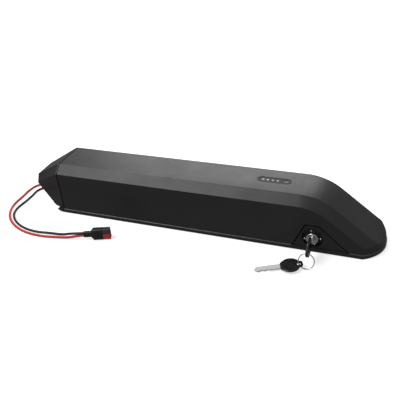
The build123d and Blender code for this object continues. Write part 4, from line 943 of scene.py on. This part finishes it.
@dataclass
class Key:
    """A key's plastic bow: a crowned pad with a round hole, thinner towards its rim."""

    blade: str
    bow: str
    body: Body
    length: float = 28.0
    width: float = 26.0
    thickness: float = 3.0
    inset: float = 4.5
    hole: float = 2.5
    thumb_hollow: float = 0.28
    points: int = 17
    spare_turn: float = 202.0
    spare_dip: float = 4.3
    ring_place: float = 210.0

    def outline(self, angle: np.ndarray) -> np.ndarray:
        """Distance from the hole's middle to the rim in each direction.

        The bow is a rounded pad: a circle round its broad end joined to the hole's small end by a smooth step of the
        cosine of the direction, share ** 2 * (3 - 2 * share).

        Args:
            angle: directions from the hole, where 0 is the blade's.

        Returns:
            One distance for each direction, in millimetres.
        """
        front, back = self.length - self.inset, self.inset
        half = self.width / 2
        centre = front - half * 0.92
        c, s = np.cos(angle), np.sin(angle)
        broad = centre * c + np.sqrt(np.maximum(half**2 - (centre * s) ** 2, 0.01))
        tip = back * (1.05 + 0.25 * np.abs(s))
        share = np.clip(c + 0.62, 0, 1)
        share = share**2 * (3 - 2 * share)
        return np.minimum(tip + (broad - tip) * share, front / np.maximum(np.abs(c), 0.3) * 1.02)

    def build(self) -> None:
        """Makes the bow from two runs of points, over the front and back over the rear.

        Point (i, j) lies between the hole's edge and the rim in direction i, at share s_j of the way, and stands
        off the middle plane by the half thickness times a flat-topped curve of s_j, with a shallow thumb hollow.
        """
        place, along, normal = self.place()
        sideways = np.cross(normal, along)
        angle = np.linspace(0, 2 * np.pi, 72, endpoint=False)
        c, s = np.cos(angle)[:, None], np.sin(angle)[:, None]
        share = np.concatenate([np.linspace(0, 1, self.points), np.linspace(1, 0, self.points)[1:-1]])
        side = np.concatenate([np.ones(self.points), -np.ones(self.points - 2)])
        r = self.hole + (self.outline(angle)[:, None] - self.hole) * share[None]
        crown = (1 - np.abs(2 * share - 1) ** 7) ** 0.5
        hollow = self.thumb_hollow * np.exp(-(((share - 0.55) / 0.22) ** 4)) * (c > 0.2)
        half = np.maximum(self.thickness / 2 * crown[None] - hollow * np.minimum(1, 2.5 * c.clip(0, 1)), 0)
        spans = ((r * c, along), (r * s, sideways), (half * side[None], normal))
        points = place + sum(distance[..., None] * MM * direction for distance, direction in spans)
        piece = make_skin(f"{self.bow}_pad", points, wrap_rows=True, sharp=60.0)
        dress(piece, Finishes.KEY_BOW, self.body, "cap", self.bow)

    def place(self) -> tuple[np.ndarray, np.ndarray, np.ndarray]:
        """Where the bow is: in line with the blade in the lock, or lying from the ring with its blade dipped.

        Returns:
            The hole's middle, the direction from it to the blade and the bow's normal.
        """
        if self.body is Body.LOCK_PLUG:
            low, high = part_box(self.bow)
            hole = Vector(((low.x + high.x) / 2, low.y + self.inset * MM, middle(self.blade).z))
            return np.array(hole), np.array(INWARD), np.array(ALONG)
        turn, dip = math.radians(self.spare_turn), math.radians(self.spare_dip)
        along = np.array([math.cos(turn) * math.cos(dip), math.sin(turn) * math.cos(dip), -math.sin(dip)])
        normal = np.array([math.cos(turn) * math.sin(dip), math.sin(turn) * math.sin(dip), math.cos(dip)])
        hole = SplitRing().centre_line(np.array([math.radians(self.ring_place)]))[0]
        return hole, along, normal


@dataclass
class SplitRing:
    """The ring through both bows: two close turns of one wire."""

    radius: float = 9.9
    wire: float = 0.55
    lean: float = 20.0
    start: float = 0.2
    points: int = 260

    def centre_line(self, t: np.ndarray) -> np.ndarray:
        """Points at the angles t round the ring: middle + radius * (along * cos t + leaning up * sin t)."""
        lean = math.radians(self.lean)
        up = np.array([0.0, math.sin(lean), math.cos(lean)])
        round_it = np.cos(t)[:, None] * np.array(ALONG) + np.sin(t)[:, None] * up
        return np.array(middle("key_ring")) + self.radius * MM * round_it

    def build(self) -> None:
        """Makes the ring.

        Its centre line goes twice round and moves along the ring's axis by one wire where the turns pass each
        other; its wire thins to a quarter at both ends.
        """
        end = 4 * np.pi - self.start
        t = np.linspace(self.start, end, self.points)
        lean = math.radians(self.lean)
        axis = np.array([0.0, math.cos(lean), -math.sin(lean)])
        shift = np.clip((t - 2 * np.pi) / 1.2, -1, 1) * self.wire * 0.9
        path = self.centre_line(t) + shift[:, None] * MM * axis
        thin = np.clip(np.minimum(t - self.start, end - t) / 0.1, 0.25, 1)
        piece = make_skin("split_ring", tube_points(path, self.wire * MM * thin, 12), caps=True)
        dress(piece, Finishes.CHROME, Body.KEY_RING, "chrome", "key_ring")


@dataclass
class LockFace:
    """The plated barrel of the lock, and the well round it, black plastic coloured darker still as painted shade in
    its recess, with its bright lugs.
    """

    rim: float = 7.8
    barrel: float = 7.2
    bore: float = 5.55
    pin_bore: float = 3.05
    bore_depth: float = 27.8
    foot: float = 7.5
    well: float = 13.7
    well_depth: float = 5.0
    lug: float = 1.5
    lug_rise: float = 1.1
    lug_turns: tuple[float, ...] = (100.0, -5.0, -75.0, 200.0)

    def front(self, node: str) -> Vector:
        """The middle of the face that a CAD node turns to the lock side."""
        place = middle(node)
        place.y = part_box(node)[0].y
        return place

    def well_lining(self) -> bpy.types.Object:
        """The wall of the well, black plastic coloured near-black as painted shade in the recess, as a turned cup with
        a lip that opens a little towards its mouth.

        Returns:
            The closed wall.
        """
        low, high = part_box("lock_bezel")
        mouth = self.well_depth - (high.y - low.y) / MM
        wall = self.well
        profile = [
            (wall - 0.05, 0.3), (wall - 0.05, 0.3 - mouth), (wall - 0.35, 0.3 - mouth), (wall - 0.5, 0.6 - mouth),
            (wall - 0.5, 0.3),
        ]
        form = turned(profile, self.front("lock_bezel"), INWARD, ALONG, 96)
        return make_skin("lock_well", form, wrap_rows=True)

    def lug_cap(self, number: int, turn: float) -> bpy.types.Object:
        """One bright domed lug beside the barrel: height falls with the fourth power of the distance out.

        Args:
            number: the lug's number.
            turn: its direction from the barrel's middle, in radians.

        Returns:
            The lug.
        """
        reach = 0.5 * (self.rim + self.well - 0.6) * MM
        centre = self.front("lock_bezel") + Vector((reach * math.cos(turn), 0.0, reach * math.sin(turn)))
        share = np.linspace(1, 0, 8)
        dome = list(zip(self.lug * share, -self.lug_rise * (1 - share**4)))
        return make_skin(f"lock_lug_{number}", turned([(self.lug, 1.2), *dome], centre, INWARD, ALONG, 32))

    def build(self) -> None:
        """Makes the barrel's rim with a rounded shoulder and a stepped inner edge, the well and its lugs."""
        low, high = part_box("lock_housing")
        depth = (high.y - low.y) / MM
        edge, deep = self.rim, self.bore_depth
        mouth = [(self.bore, deep), (self.bore, 0.9), (5.7, 0.45), (5.95, 0.4), (6.2, 0.05), (6.8, 0.0)]
        shoulder = [(edge - 0.5, 0.1), (edge - 0.15, 0.4), (edge, 0.9), (edge, self.foot)]
        outside = [(self.barrel, self.foot), (self.barrel, depth)]
        inside = [(self.pin_bore, depth), (self.pin_bore, deep), (self.bore, deep)]
        form = turned(mouth + shoulder + outside + inside, self.front("lock_housing"), INWARD, ALONG, 96)
        piece = make_skin("lock_barrel", form, wrap_rows=True)
        dress(piece, Finishes.CHROME, Body.CRADLE, "chrome", "lock_housing")
        # The well's lining is coloured near-black, painted shade in the recess.
        dress(self.well_lining(), Finishes.WELL_PAINTED_SHADE, Body.CRADLE, "inner_plastic")
        for number, turn in enumerate(self.lug_turns, 1):
            dress(self.lug_cap(number, math.radians(turn)), Finishes.CHROME, Body.CRADLE, "inner_plastic")


@dataclass
class ChargeCover:
    """The rubber cover of the charge socket: a ribbed disc on its hinge barrel."""

    thickness: float = 2.2
    gap: float = 0.2
    edge: float = 0.5

    def build(self) -> None:
        """Makes raised rings on the cover as one turned form, and softens the cover's edges."""
        low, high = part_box("charge_flap")
        radius = (high.z - low.z) / 2
        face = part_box("charge_port")[1].y + (self.thickness + self.gap) * MM
        centre = Vector((high.x - radius, face, (low.z + high.z) / 2))
        outer = [(8.6, 0.0), (8.2, 0.35), (7.8, 0.35), (7.4, 0.0)]
        inner = [(5.4, 0.0), (5.1, 0.3), (4.8, 0.3), (4.5, 0.02), (0.0, 0.02)]
        form = turned(outer + inner, centre, INWARD, ALONG)
        dress(make_skin("cover_rings", form), Finishes.RUBBER, Body.FLAP, "rubber")
        dress(softened_copy("charge_flap", self.edge), Finishes.RUBBER, Body.FLAP, "rubber")


def dress_cad_nodes() -> None:
    """Gives every CAD node that stays visible its own finish."""
    for finish, nodes in NODES_BY_FINISH:
        for node in nodes:
            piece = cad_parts[node]
            piece.data.materials.clear()
            piece.data.materials.append(finish.material())


def main() -> None:
    """Builds the studio, the leads and the sub-assemblies in order."""
    logging.basicConfig(level=logging.INFO, format="%(name)s: %(message)s")
    Studio().build()
    DischargeLeads().build()
    dress_cad_nodes()
    Housing().build()
    Indicator().build()
    LockFace().build()
    Key("key_blade", "key_bow", Body.LOCK_PLUG).build()
    Key("spare_key_blade", "spare_key_bow", Body.SPARE_KEY).build()
    SplitRing().build()
    ChargeCover().build()


if __name__ == "__main__":
    main()
